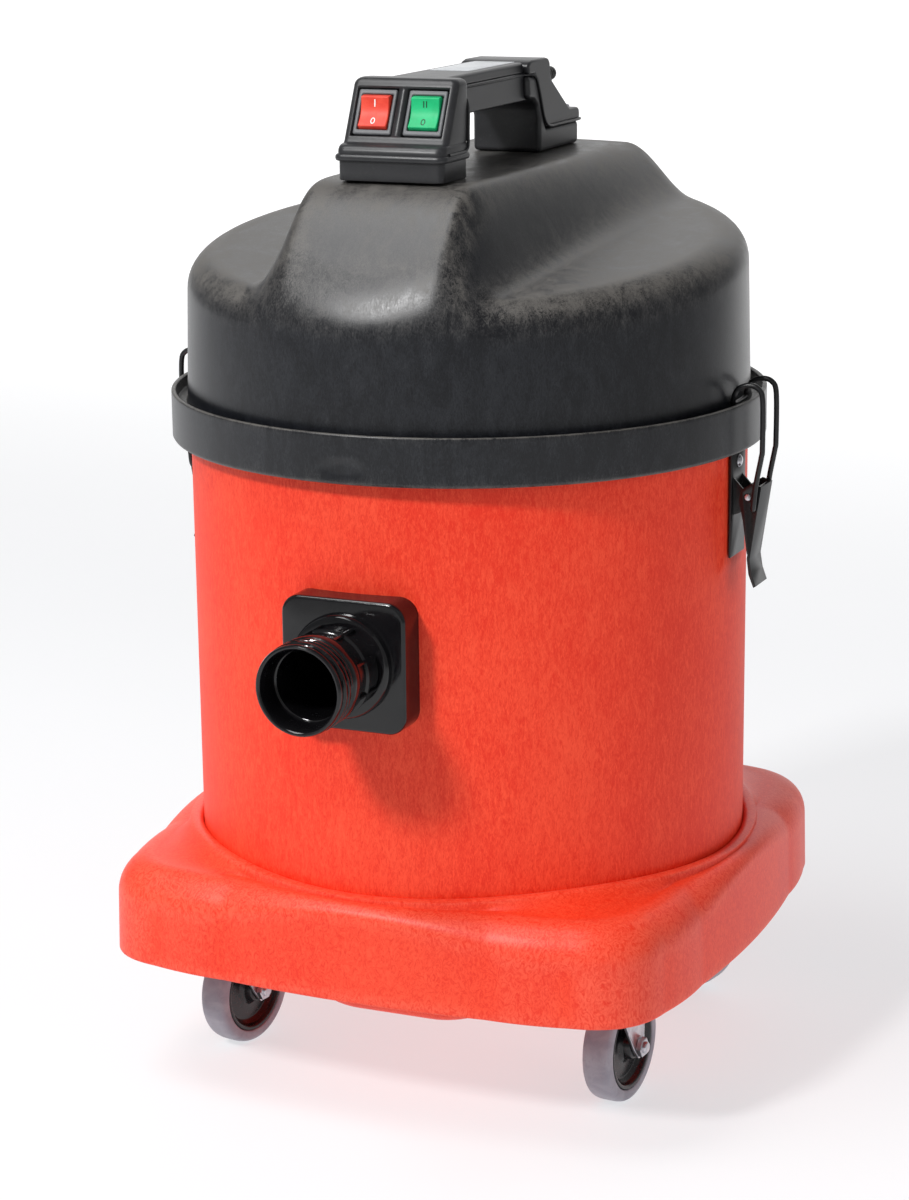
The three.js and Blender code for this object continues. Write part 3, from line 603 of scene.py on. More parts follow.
for radius in (0, 60, 120, 186):
    level(radius, UNDER_Z)
for radius, height in ((190, 105), (191, 108), (191, 140), (193, 145)):
    level(radius, height)
inner_top = shelf_z - BASE_WALL
inner_round = edge_round * 0.8
level(base_edge - BASE_WALL - inner_round, inner_top)
for bend in np.linspace(0.9, 0, 6) * np.pi / 2:
    level(base_edge - BASE_WALL - inner_round * (1 - np.cos(bend)),
          inner_top - inner_round * (1 - np.sin(bend)))
hem = ((BASE_WALL, 14), (BASE_WALL, 1.2), (4.0, 0.3), (3.2, 0), (1.4, 0), (0.5, 0.4), (0.1, 1.4))
for inset, rise in hem:
    level(base_edge - inset, HEM_Z + rise)
wall_top = shelf_z - edge_round
for t in np.linspace(0.06, 1, 14):
    level(base_edge - 0.1 - 0.9 * t, HEM_Z + 1.4 + (wall_top - HEM_Z - 1.4) * t)
for bend in np.linspace(0, 1, 13)[1:] * np.pi / 2:
    level(base_edge - 1.0 - edge_round * (1 - np.cos(bend)), wall_top + edge_round * np.sin(bend))
shelf_out = base_edge - 1.0 - edge_round
for t in np.linspace(0, 1, 14)[1:]:
    level(shelf_out + (BEAD_R - shelf_out) * t, shelf_z + (collar_z - 1.0 - shelf_z) * t ** 2.2)
for radius, drop in ((190.6, 0.6), (189.6, 0.3), (188.4, 0.08), (187.2, 0), (185.9, 0.15), (184.9, 0.5),
                     (184.0, 1.1), (183.2, 1.9), (WELL_R, 3), (WELL_R, 16)):
    level(radius, collar_z - drop)
level(WELL_R, WELL_Z)
level(0, WELL_Z)
base_r = np.array([r for r, z in levels])
base_z = np.array([z for r, z in levels])
base_grid = np.stack([base_r * np.cos(around), base_r * np.sin(around), base_z], axis=-1)
BOSS_X, BOSS_Y, BOSS_R, BOSS_TOP_Z = 137, 113, 33, 143
boss = smooth_profile([(0, UNDER_Z), (BOSS_R, UNDER_Z), (BOSS_R, BOSS_TOP_Z), (0, BOSS_TOP_Z)], 3)
bosses = [surface(lathe(boss, 40) + (sx * BOSS_X, sy * BOSS_Y, 0)) for sx in (1, -1) for sy in (1, -1)]
base_marks = np.concatenate([surface_mark(base_grid, 3, 0.45).ravel()] + [np.zeros(len(b[0])) for b in bosses])
piece("base_shell", [surface(base_grid)] + bosses, "body", RED_BASE,
      replaces=["base_chassis"], sharp=50, marks={"surface_mark": base_marks})

# %% [markdown]
# Under the base hangs a shallow pan that gives the drum's foot its depth. It is a loft of rounded
# rectangles, each a level of the pan, closed at both ends.

# %% Sump pan
PAN_LOW_Z = 53
pan_bend = np.linspace(0, np.pi / 2, 7)
pan_rows = [(PAN_LOW_Z + 16 * (1 - np.cos(b)), 49 + 20 * np.sin(b), -130 - 11 * np.sin(b),
             130 + 11 * np.sin(b), 24 + 16 * np.sin(b)) for b in pan_bend]
pan = tower(pan_rows + [(80, 69.6, -141.6, 141.6, 40), (105, 70, -142, 142, 40)], 12)
piece("sump_pan", [pan], "body", RED_BASE, sharp=50, marks={"surface_mark": np.zeros(len(pan[0]))})

# %% [markdown]
# ## The drum
# The drum is a turned wall with three things on it: a hole at the front for the inlet, and a flat pad
# behind each latch. The hole is made by moving the grid, not by cutting it: points inside a square round
# the hole are drawn out from the square towards a circle, and the faces inside it are left out.

# %% Drum wall
DRUM_R = 183.0
INLET_Z = 305.5
HOLE_R, HOLE_REACH = 31.0, 60.0
drum_angle = np.linspace(-np.pi / 2, 3 * np.pi / 2, 288, endpoint=False)
along = DRUM_R * (drum_angle + np.pi / 2)
along = np.where(along > np.pi * DRUM_R, along - 2 * np.pi * DRUM_R, along)
cell = along[1] - along[0]
drum_z = INLET_Z + cell * np.arange(-48, 31)
s, dz = np.meshgrid(along, drum_z - INLET_Z)
square = np.maximum(np.abs(s), np.abs(dz))  # the hole takes four cells each way
pull = np.clip((square - 4 * cell) / (HOLE_REACH - 4 * cell), 0, 1)
to_circle = HOLE_R / np.maximum(np.hypot(s, dz), 1e-6)
factor = (1 - pull) * to_circle + pull
wall_s, wall_z = s * factor, INLET_Z + dz * factor
wall_angle = wall_s / DRUM_R - np.pi / 2
pad_side = np.minimum(np.abs(wall_angle), np.abs(np.abs(wall_angle) - np.pi)) * DRUM_R
pad = smooth_step(24, 20, pad_side) * smooth_step(336, 341, wall_z)
wall_r = DRUM_R - 0.5 * (430 - wall_z) / 280 + 1.4 * pad
drum_grid = np.stack([wall_r * np.cos(wall_angle), wall_r * np.sin(wall_angle), wall_z], axis=-1)
drum_points, drum_faces = surface(drum_grid)
inside = square.ravel() < 4.1 * cell
drum_faces = drum_faces[~inside[drum_faces].all(axis=1)]
used, packed = np.unique(drum_faces, return_inverse=True)
drum = piece("drum_shell", [(drum_points[used], packed.reshape(-1, 4))], "body", RED_DRUM,
             replaces=["drum_body"], outward=False, marks={"surface_mark": pad.ravel()[used] * 0.2})
wall = drum.modifiers.new("wall", "SOLIDIFY")
wall.thickness = 0.0026
wall.offset = -1

# %% [markdown]
# ## The head
# The head is the machine's hardest shape, yet it is still one grid of levels and angles. The rim band,
# its upturned lip and the trough inside it are turned; the wall rises to a soft edge; and above that the
# height is a function of the place in plan: two shoulders that rise to the back, and a ridge from front
# to back that falls to the brow at the front.

# %% Head height
SHOULDER_Z, RIDGE_Z = 544.0, 591.0
RIDGE_FRONT = 128.0
FRONT_SOFT, FLANK_SOFT = 7.0, 8.0


def head_top(x, y):
    """Shoulders rise by 0.12 of the way back. The ridge is level, then falls in a straight slope that
    starts softly: soft = k*log(1 + exp(way past the front / k)). Where it nears the shoulders it joins them
    by the same soft corner, so that no crease is left. The foot of its flanks draws in towards the front."""
    shoulder = SHOULDER_Z + 0.12 * y
    past = FRONT_SOFT * np.log1p(np.exp(np.clip((-y - RIDGE_FRONT) / FRONT_SOFT, -40, 40)))
    ridge = RIDGE_Z - 1.25 * past
    half, foot = 51 + 0.012 * y, 102 + 0.10 * y
    side = smooth_step(foot, half, np.abs(x)) ** 1.6
    above = FLANK_SOFT * np.log1p(np.exp(np.clip((ridge - shoulder) / FLANK_SOFT, -40, 40)))
    return shoulder - 4 * side * smooth_step(130, 185, -y) + above * side


# %% Head cover
HEAD_COLUMNS = 320
BAND_R, HEAD_R, RIM_R = 195.0, 184.3, 182.4
LIP_R, LIP_Z, TROUGH_Z, WALL_FOOT_Z = 191.8, 448, 440, 446
round_angle = np.linspace(0, 2 * np.pi, HEAD_COLUMNS, endpoint=False)


def head_height(radius):
    """Height of the head along a ring of that radius."""
    return head_top(radius * np.cos(round_angle), radius * np.sin(round_angle))


rim = smooth_profile([(178, 429), (184, 429), (184, 419), (187, 417), (194, 417), (BAND_R, 418.6)], 1.2, 4)
band = np.column_stack([np.full(12, BAND_R), np.linspace(419.5, 444, 12)])
lip = smooth_profile([(BAND_R, 445), (BAND_R, LIP_Z), (LIP_R, LIP_Z), (LIP_R, TROUGH_Z), (184.6, TROUGH_Z),
                      (HEAD_R, WALL_FOOT_Z)], 1.3, 5)
turned = np.concatenate([rim, band, lip])
rows_r, rows_z = [], []
inner_roof = [(158 * t, 6) for t in np.linspace(0, 1, 16)] + [(168, 12), (175, 20), (178, 32)]
for radius, drop in inner_roof:
    rows_r.append(np.full(HEAD_COLUMNS, float(radius)))
    rows_z.append(head_height(radius) - drop)
rows_r += [np.full(HEAD_COLUMNS, r) for r in turned[:, 0]]
rows_z += [np.full(HEAD_COLUMNS, z) for z in turned[:, 1]]
front_side = 0.5 - 0.5 * np.sin(round_angle)
edge = 24.0 - 5.0 * front_side
wall_end = head_height(RIM_R) - edge
for t in np.linspace(0, 1, 23)[1:]:
    rows_z.append(WALL_FOOT_Z + (wall_end - WALL_FOOT_Z) * t)
    rows_r.append(HEAD_R - 1.9 * t * np.ones(HEAD_COLUMNS))
for bend in np.linspace(0, 1, 12)[1:] * np.pi / 2:
    radius = RIM_R - edge * (1 - np.cos(bend))
    rows_r.append(radius)
    rows_z.append(head_height(radius) - edge * (1 - np.sin(bend)))
for t in np.linspace(1, 0, 76)[1:]:
    radius = (RIM_R - edge) * t
    rows_r.append(radius)
    rows_z.append(head_height(radius))
head_r, head_z = np.array(rows_r), np.array(rows_z)
from_front = BAND_R * np.abs((round_angle + np.pi / 2 + np.pi) % (2 * np.pi) - np.pi)
on_band = (head_r > BAND_R - 0.5) & (head_z < WALL_FOOT_Z)
oval = (from_front[None, :] / 12.5) ** 2 + ((head_z - 426) / 6.5) ** 2
head_r = head_r - np.where(on_band, 0.9 * smooth_step(1.15, 0.75, oval), 0)
head_grid = np.stack([head_r * np.cos(round_angle), head_r * np.sin(round_angle), head_z], axis=-1)
# Worn proud edges, plus dust and a painted sheen on level surfaces: the brown-grey of the head.
head_wear_and_sheen = np.clip(0.35 * surface_mark(head_grid, 5, 1.6) + 0.75 * facing_up(head_grid), 0, 1)
piece("head_shell", [surface(head_grid)], "body", BLACK_HEAD,
      replaces=["head_cover"], outward=False, sharp=50, marks={"surface_mark": head_wear_and_sheen})

# %% [markdown]
# ## The hose inlet
# A square block with rounded corners is screwed to the drum. Out of it comes the neck: a ring, a cage of
# thin ribs and a hoop, a collar, a screw thread and a rim. The thread is a real helix: the radius swells
# where the height along the neck, less the turn round it, comes to a whole number of pitches.

# %% Inlet flange
flange_bend = np.linspace(0, np.pi / 2, 6)
flange_rows = [(174, 41.5, 12), (196.6, 41.5, 12)]
flange_rows += [(197.3 + 2.2 * np.sin(b), 39.3 + 2.2 * np.cos(b), 9.8 + 2.2 * np.cos(b)) for b in flange_bend]
block_y, block_half, block_corner = np.array(flange_rows).T[:, :, None]
block_x, block_z = rounded_ring(block_half, block_half, block_corner, 10)
block = np.stack([block_x, block_z, np.broadcast_to(block_y, block_x.shape)], axis=-1)
hole = block[[0, -1]].copy()
hole[..., :2] *= 27.8 / np.hypot(hole[..., :1], hole[..., 1:2])
block_grid = facing_front(np.concatenate([hole[:1], block, hole[1:], hole[:1]])) + (0, 0, INLET_Z)
piece("inlet_block", [surface(block_grid)], "body", GLOSS, replaces=["inlet_flange"], sharp=40)

# %% Inlet neck
NECK_COLUMNS = 144
PITCH = 4.3
neck_line = np.array([
    (27.6, 190), (33.0, 190), (33.0, 202.6), (32.6, 204.4), (31.6, 205.6), (29.8, 206), (26.5, 206.2),
    (26.2, 207), (26.2, 218.6), (26.9, 219), (28.0, 219.3), (28.0, 221.2), (26.9, 221.5), (26.2, 221.9),
    (26.2, 232.6), (27.0, 233.1), (28.3, 233.6), (28.5, 234.2), (28.5, 240.6), (28.2, 241.3), (27.2, 241.8),
    (27.0, 242.4)])
thread_h = np.arange(242.8, 257.6, 0.34)
thread_line = np.column_stack([np.full(len(thread_h), 27.0), thread_h])
mouth_line = np.array([
    (27.0, 258.0), (27.6, 258.6), (28.2, 259.2), (28.4, 260.0), (28.3, 261.0), (27.8, 261.9), (27.0, 262.3),
    (26.2, 262.2), (25.5, 261.6), (25.1, 260.6), (24.8, 258), (24.4, 252), (24.2, 247), (24.0, 246.2),
    (23.3, 245.4), (22.5, 244.9), (22.2, 244.2), (22.0, 240), (22.0, 200), (22.0, 158), (27.6, 158),
    (27.6, 190)])
neck = lathe(np.concatenate([neck_line, thread_line, mouth_line]), NECK_COLUMNS)
neck_turn = np.linspace(0, 1, NECK_COLUMNS, endpoint=False)
h = neck[:, 0, 2][:, None]
swell = np.clip(1.35 * np.cos(2 * np.pi * (h / PITCH - neck_turn)) + 0.25, 0, 1)
fade = smooth_step(242.6, 245.5, h) * smooth_step(258.0, 255.4, h)
outer = np.hypot(neck[..., 0], neck[..., 1]) > 26
grow = np.where(outer, 1 + 1.75 * swell * fade / 27.0, 1.0)
neck[..., :2] *= grow[..., None]
ribs = []
for turn_by in np.arange(8) * np.pi / 4 + np.pi / 8:
    rib = rounded_outline([(24.5, -1.1), (28.1, -1.1), (28.1, 1.1), (24.5, 1.1)], 0.5, 3)
    rib_points, rib_faces = pulled(rib, 205, 234.5, "xy")
    c, s_ = np.cos(turn_by), np.sin(turn_by)
    rib_points[:, :2] = rib_points[:, :2] @ np.array([[c, s_], [-s_, c]])
    ribs.append((facing_front(rib_points) + (0, 0, INLET_Z), rib_faces))
piece("hose_neck", [surface(facing_front(neck) + (0, 0, INLET_Z))] + ribs, "body", GLOSS,
      replaces=["inlet_neck"], sharp=32)

# %% [markdown]
# ## The handle
# The handle is two satin shells joined at a raised bead: a lower shell that stands on the ridge, and an
# upper shell with the switch console, the grip and the rear block. The console is a loft whose front
# leans back above the shelf; the grip and the rear block are side views pulled across, with their edges
# rounded by a Bevel.

# %% Lower shell
FOOT_Z, BEAD_Z = 591.2, 607.5
GRIP_BEAD_Z = 643.7


def plinth(half, front, back, corner):
    """A foot: straight sides with a small round at its lower edge."""
    return tower([(FOOT_Z, half - 0.4, front + 0.4, back - 0.4, corner), (591.8, half, front, back, corner),
                  (604.6, half, front, back, corner)], 8)


def collar_lip(half, front, back, corner):
    """The wider band above a foot, rounded above and below."""
    rows = [(605.2 + 2.1 * np.sin(b), half - 1.1 * (1 - np.cos(b)), front + 1.1 * (1 - np.cos(b)),
             back - 1.1 * (1 - np.cos(b)), corner) for b in np.linspace(-np.pi / 2, np.pi / 2, 11)]
    return tower(rows, 8)


grip_under = [(-79, 643.3), (-78, 631), (-71, 627.4), (-60, 626.6), (62, 626.6), (60, 643.3)]
rear_leg = [(66.5, FOOT_Z), (137, FOOT_Z), (137, 606.9), (78, 606.9), (64.4, 637), (60, 642.6), (46, 642.6),
            (48, 628), (58, 626.4), (64, 622), (66.5, 614)]
piece("handle_foot_front", [plinth(35.5, -120, -80, 5), collar_lip(37.6, -122.2, -78.0, 6)], "body", SATIN,
      replaces=["handle_lower"], sharp=38)
piece("handle_leg_rear", [pulled(rear_leg, -24.2, 24.2)], "body", SATIN, bevel=3.2)
under = rounded_outline(grip_under, 7, 5)
piece("grip_underside", [pulled(under, -20.4, 20.4)], "body", SATIN, bevel=2.0)

# %% Switch face
FACE_LOW, FACE_TOP = np.array([112.3, 614.0]), np.array([94.7, 650.4])
FACE_TILT = np.arctan2(FACE_TOP[1] - FACE_LOW[1], FACE_LOW[0] - FACE_TOP[0])
FACE_MIDDLE = np.array([-(FACE_LOW[0] + FACE_TOP[0]) / 2, (FACE_LOW[1] + FACE_TOP[1]) / 2])
SWITCH_X = 16.9


def tilted(points, tilt, place):
    """Turns points about X by a tilt, then moves them to a place in y and z."""
    points = np.asarray(points, float)
    x, y, z = np.moveaxis(points, -1, 0)
    c, s_ = np.cos(tilt), np.sin(tilt)
    return np.stack([x, y * c - z * s_ + place[0], y * s_ + z * c + place[1]], axis=-1)


# %% Console
lean = (FACE_LOW[0] - FACE_TOP[0]) / (FACE_TOP[1] - FACE_LOW[1])
SHELF_HALF, SHELF_FRONT, CONSOLE_BACK = 36.2, -120.8, -78.6
CONSOLE_HALF, CONSOLE_TOP_Z = 35.3, 647.6
console_rows = [(z, SHELF_HALF, SHELF_FRONT, CONSOLE_BACK, 6) for z in (607.3, 608.6)]
console_rows += [(608.6 + 4.6 * np.sin(b), SHELF_HALF - (1 - np.cos(b)), SHELF_FRONT + 5.4 * (1 - np.cos(b)),
                  CONSOLE_BACK, 6) for b in np.linspace(0, np.pi / 2, 7)[1:]]
console_rows += [(613.6, 35.2, -113.6, CONSOLE_BACK, 4.6), (614.4, CONSOLE_HALF, -112.1, CONSOLE_BACK, 4.2)]
console_rows += [(z, CONSOLE_HALF, -FACE_LOW[0] + (z - FACE_LOW[1]) * lean,
                  CONSOLE_BACK + (z - FACE_LOW[1]) * 0.03, 4.2) for z in np.linspace(617, CONSOLE_TOP_Z, 9)]
top_y = -FACE_LOW[0] + (CONSOLE_TOP_Z - FACE_LOW[1]) * lean
console_rows += [(CONSOLE_TOP_Z + 4.4 * np.sin(b), CONSOLE_HALF - 4.2 * (1 - np.cos(b)),
                  top_y + 1.9 * np.sin(b) + 3.0 * (1 - np.cos(b)), -77.6 - 3.0 * (1 - np.cos(b)), 4.2)
                 for b in np.linspace(0, np.pi / 2, 8)[1:]]
console = piece("switch_console", [tower(console_rows, 8)], "body", SATIN,
                replaces=["handle_upper"], sharp=38)
slots = []
for x in (-SWITCH_X, SWITCH_X):
    slot_points, slot_faces = tower([(-12, 14.1, -16.0, 16.0, 1.2), (6, 14.1, -16.0, 16.0, 1.2)], 4)
    slots.append((tilted(slot_points + (x, 0, 0), FACE_TILT, FACE_MIDDLE), slot_faces))
cutter = piece("slot_cutter", slots, "body", DARK)
cut = console.modifiers.new("switch slots", "BOOLEAN")
cut.object = cutter
cut.solver = "EXACT"
bpy.context.view_layer.update()
carved = bpy.data.meshes.new_from_object(console.evaluated_get(bpy.context.evaluated_depsgraph_get()))
console.modifiers.clear()
console.data = carved
bpy.data.objects.remove(cutter)
print("console faces after cutting the slots", len(carved.polygons))

# %% Grip and rear block
grip_top = [(-84, GRIP_BEAD_Z), (60, GRIP_BEAD_Z), (60, 651.5), (-84, 651.5)]
rear_side = [(76.6, 607.3), (137.6, 607.3), (138.6, 609), (138.6, 613.4), (136, 615.6), (120, 616.4),
             (118.4, 617.4), (88.6, 637.2), (86.6, 640), (84.6, 649.4), (82, 652.2), (78, 652.8), (54, 652.8),
             (49, 651.6), (46, 649.6), (48, GRIP_BEAD_Z), (57.6, GRIP_BEAD_Z), (63.4, 638.4)]
piece("grip_top_shell", [pulled(grip_top, -20, 20)], "body", SATIN, bevel=2.4)
piece("rear_block", [pulled(rear_side, -24.5, 24.5)], "body", SATIN, bevel=2.0)

# %% [markdown]
# The bead where the shells meet is a thin wire sunk half into them. It follows the grip, turns down the
# back of the console and down the front of the rear block, and lies along both feet.

# %% Parting bead
for side, sign in (("right", 1), ("left", -1)):
    rear_line = [(0, 139.4, BEAD_Z), (18, 139.4, BEAD_Z), (23.4, 138.4, BEAD_Z), (24.9, 134, BEAD_Z),
                 (24.9, 100, BEAD_Z), (24.9, 84, BEAD_Z + 0.1), (24.8, 76.5, BEAD_Z + 2.6), (24.7, 72, 616),
                 (24.7, 66, 630), (24.4, 60.5, 640.5), (23.4, 56, 643.4), (20.9, 50, GRIP_BEAD_Z)]
    rear_line += [(20.2, y, GRIP_BEAD_Z) for y in (44, 0, -64)]
    front_line = [(20.2, -64, GRIP_BEAD_Z), (21.5, -73, 643.4), (27, -77.8, 642.6), (33, -78.6, 640),
                  (35.3, -79.2, 634), (35.6, -80.2, 620), (36.0, -81.6, 611), (36.4, -86, 608),
                  (36.5, -92, 607.6), (36.5, -112, 607.6)]
    for part, line in (("rear", rear_line), ("front", front_line)):
        path = smooth_path(np.array(line) * (sign, 1, 1), 90)
        piece(f"parting_bead_{part}_{side}", [tube(path, 1.05, 10)], "body", SATIN)

# %% [markdown]
# ## The switches
# Each switch is a grey frame sunk in a dark slot, with a rocker whose face is hollow so that a finger
# finds it. The rocker's side view is pulled across, and its marks lie on the same hollow curve.

# %% Switch frames
ring_path = [(-9, 12.9, 14.7, 1.2), (-1.4, 12.9, 14.7, 1.2), (-0.7, 12.7, 14.5, 1.1), (-0.4, 12.3, 14.1, 1.0),
             (-0.4, 10.9, 12.0, 0.8), (-0.7, 10.5, 11.6, 0.7), (-1.3, 10.35, 11.45, 0.6),
             (-9, 10.35, 11.45, 0.6)]
ring_h, ring_x, ring_y, ring_c = np.array(ring_path + ring_path[:1]).T[:, :, None]
frame_x, frame_y = rounded_ring(ring_x, ring_y, ring_c, 6)
frame_grid = np.stack([frame_x, frame_y, np.broadcast_to(ring_h, frame_x.shape)], axis=-1)

# %% Rockers and their marks
PIVOT_DEPTH = 3.6
PIVOT = FACE_MIDDLE + PIVOT_DEPTH * np.array([np.sin(FACE_TILT), -np.cos(FACE_TILT)])
REST_TIP = np.radians(7)


def hollow(y):
    """Height of the rocker's face above its rim line: 2.3 at the ends, and a hollow down to 0.1 between."""
    return 0.1 + 2.2 * (np.abs(y) / 9.2) ** 1.8


face_y = np.linspace(-9.2, 9.2, 25)
rocker_side = np.concatenate([[(-11.0, -4.6), (-11.0, -0.6)], np.column_stack([face_y, hollow(face_y)]),
                              [(11.0, -0.6), (11.0, -4.6), (7, -8), (-7, -8)]]) + (0, PIVOT_DEPTH)
MARK_LIFT = 0.10


def on_cap(x, y, lift):
    """A place on the rocker's hollow face, in the rocker's own frame."""
    return np.stack([x, y, hollow(y) + PIVOT_DEPTH + lift], axis=-1)


def bar_mark(x, y, width, height):
    """An upright bar: a strip that follows the hollow, with its four sides."""
    u, v = np.meshgrid(np.array([-0.5, 0.5]) * width + x, np.linspace(-0.5, 0.5, 9) * height + y)
    top, bottom = on_cap(u, v, MARK_LIFT), on_cap(u, v, -0.3)
    loop = np.stack([bottom[:, 0], top[:, 0], top[:, 1], bottom[:, 1]], axis=1)
    ends = [np.broadcast_to(loop[i].mean(axis=0), loop[i].shape)[None] for i in (0, -1)]
    return surface(np.concatenate([ends[0], loop, ends[1]]))


def ring_mark(y, half_width, half_height, stroke):
    """A ring: four closed lines, outer and inner, above and below."""
    angle = np.linspace(0, 2 * np.pi, 40, endpoint=False)
    lines = []
    for inset, lift in ((0, -0.3), (0, MARK_LIFT), (stroke, MARK_LIFT), (stroke, -0.3), (0, -0.3)):
        across, up = (half_width - inset) * np.cos(angle), (half_height - inset) * np.sin(angle)
        lines.append(on_cap(across, y + up, lift))
    return surface(np.stack(lines))


for side, sign, cap, ink in (("red", -1, CAP_RED, MARK_WHITE), ("green", 1, CAP_GREEN, MARK_DARK)):
    x = sign * SWITCH_X
    sunk = tilted(frame_grid + (x, 0, 0), FACE_TILT, FACE_MIDDLE)
    piece(f"switch_frame_{side}", [surface(sunk)], "body", GREY,
          replaces=[f"switch_bezel_{side}"], sharp=40)
    body_points, body_faces = pulled(rocker_side, -9.5, 9.5)
    place = dict(tilt=FACE_TILT + REST_TIP, place=PIVOT)
    piece(f"rocker_cap_{side}", [(tilted(body_points + (x, 0, 0), **place), body_faces)],
          f"rocker_{side}", cap, replaces=[f"rocker_{side}"], bevel=0.7)
    bars = {"red": [(0, 5.4, 0.75, 4.4)], "green": [(-0.95, 5.4, 0.7, 3.8), (0.95, 5.4, 0.7, 3.8)]}[side]
    signs = [bar_mark(*bar) for bar in bars] + [ring_mark(-5.6, 1.5, 2.1, 0.62)]
    signs = [(tilted(p + (x, 0, 0), **place), f) for p, f in signs]
    piece(f"rocker_marks_{side}", signs, f"rocker_{side}", ink, sharp=60)

# %% [markdown]
# ## Label, gland and screws
# A blank pale label lies in the top of the grip. The cord's gland at the rear is a ribbed rubber sleeve
# that gets thinner towards its end, and the rear foot is held by two round-headed screws.

# %% Small fittings on the handle
label = tower([(651.2, 14.2, -27, 49, 2.2), (651.75, 14.2, -27, 49, 2.2),
               (651.85, 14.05, -26.85, 48.85, 2.1)], 6)
piece("label_blank", [label], "body", LABEL, replaces=["handle_label"])
gland_line = [(0, 78), (6.6, 78), (6.6, 86.5), (6.2, 87.3)]
for start in (88.0, 91.5, 95.0, 98.5, 102.0, 105.5):
    width = 5.9 - (start - 88) * 0.05
    gland_line += [(width - 0.9, start), (width - 0.1, start + 0.35), (width, start + 0.7),
                   (width, start + 1.7), (width - 0.1, start + 2.0), (width - 0.9, start + 2.35)]
gland_line += [(4.7, 108.6), (4.6, 110.2), (4.0, 111), (3.0, 111), (2.7, 110.4), (2.7, 100), (0, 100)]
gland = facing_front(lathe(np.array(gland_line) * (1, -1), 40)) + (14, 0, 640)
piece("cord_sleeve", [surface(gland)], "body", GLAND, replaces=["cord_gland"], sharp=40)
for side, x in (("left", -17), ("right", 17)):
    bend = np.linspace(0, np.pi / 2, 7)
    dome = [(0, 615.6), (3.4, 615.6)] + [(3.4 * np.cos(b), 616.6 + 1.9 * np.sin(b)) for b in bend]
    screw = lathe(dome, 28)
    dip = smooth_step(0.62, 0.35, np.minimum(np.abs(screw[..., 0]), np.abs(screw[..., 1])))
    near = smooth_step(2.4, 1.9, np.hypot(screw[..., 0], screw[..., 1]))
    screw[..., 2] -= 0.9 * dip * near * (screw[..., 2] > 616.4)
    piece(f"screw_head_{side}", [surface(screw + (x, 129, 0))], "body", ZINC,
          replaces=[f"rear_screw_{side}"])

# %% [markdown]
# ## Plates carried over from the frame
# Pressed steel plates already have their true outline in the frame. A merged copy of each gets rounded
# edges from a Bevel, because it is the edge that catches the light on a plate. The frame itself is left
# as it is.

# %% Merged copies
def plate_copy(name, node, body, finish_, bevel):
    source = frame["nodes"][node].data
    work = bmesh.new()
    work.from_mesh(source)
    bmesh.ops.remove_doubles(work, verts=work.verts, dist=2e-5)
    bmesh.ops.dissolve_limit(work, angle_limit=np.radians(2), verts=work.verts, edges=work.edges)
    mesh = bpy.data.meshes.new(name)
    work.to_mesh(mesh)
    work.free()
    mesh.shade_smooth()
    made = bpy.data.objects.new(name, mesh)
    bpy.context.scene.collection.objects.link(made)
    rounding = made.modifiers.new("rounded edges", "BEVEL")
    rounding.width = bevel / 1000
    rounding.segments = 2
    rounding.limit_method = "ANGLE"
    rounding.angle_limit = np.radians(30)
    rounding.harden_normals = True
    mesh.materials.clear()
    mesh.materials.append(finish_)
    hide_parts(node)
    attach(made, body)
    return made


# %% [markdown]
# ## The latches
# Each latch is a bracket riveted to the drum, a channel-shaped lever on a pin, and a bent wire bail that
# hooks over the lip of the head. The bail is a smooth curve through the bends of the real wire.

# %% Latches
BAIL_HALF = 14.0


def bail_leg(side):
    """The bends of one half of the wire, from the lever's hole to the middle of the hook."""
    y = side * BAIL_HALF
    return [(200.5, side * 6.2, 379.5), (200.5, side * 12, 379.5), (201.1, y, 382), (202.6, y, 396),
            (206, y, 414), (206.6, y, 420), (206.4, y, 450), (203.5, y, 457.6), (197, y, 459.4),
            (190, y, 456.6), (187, side * (BAIL_HALF - 0.6), 450.5), (186.4, side * (BAIL_HALF - 3.4), 446.9)]


bail_line = np.array(bail_leg(-1) + bail_leg(1)[::-1])
for side, sign in (("right", 1), ("left", -1)):
    flip = np.array([sign, sign, 1])
    plate_copy(f"latch_base_{side}", f"latch_bracket_{side}", "body", STEEL, 0.5)
    plate_copy(f"latch_handle_{side}", f"latch_lever_{side}", f"latch_lever_{side}", STEEL,
               0.55)
    plate_copy(f"latch_axis_{side}", f"latch_pin_{side}", "body", ZINC, 0.3)
    wire = smooth_path(bail_line * flip, 170)
    piece(f"latch_wire_{side}", [tube(wire, 1.75, 14)], f"latch_bail_{side}", STEEL,
          replaces=[f"latch_bail_{side}"])
    bend = np.linspace(0, np.pi / 2, 7)
    dome = [(0, 0), (4, 0), (4, 0.5)] + [(3.6 * np.cos(b), 0.7 + 1.7 * np.sin(b)) for b in bend]
    rivet = facing_right(lathe(dome, 24)) + (186.6, 0, 408)
    piece(f"latch_rivet_head_{side}", [surface(rivet * flip)], "body", ZINC,
          replaces=[f"latch_rivet_{side}"])
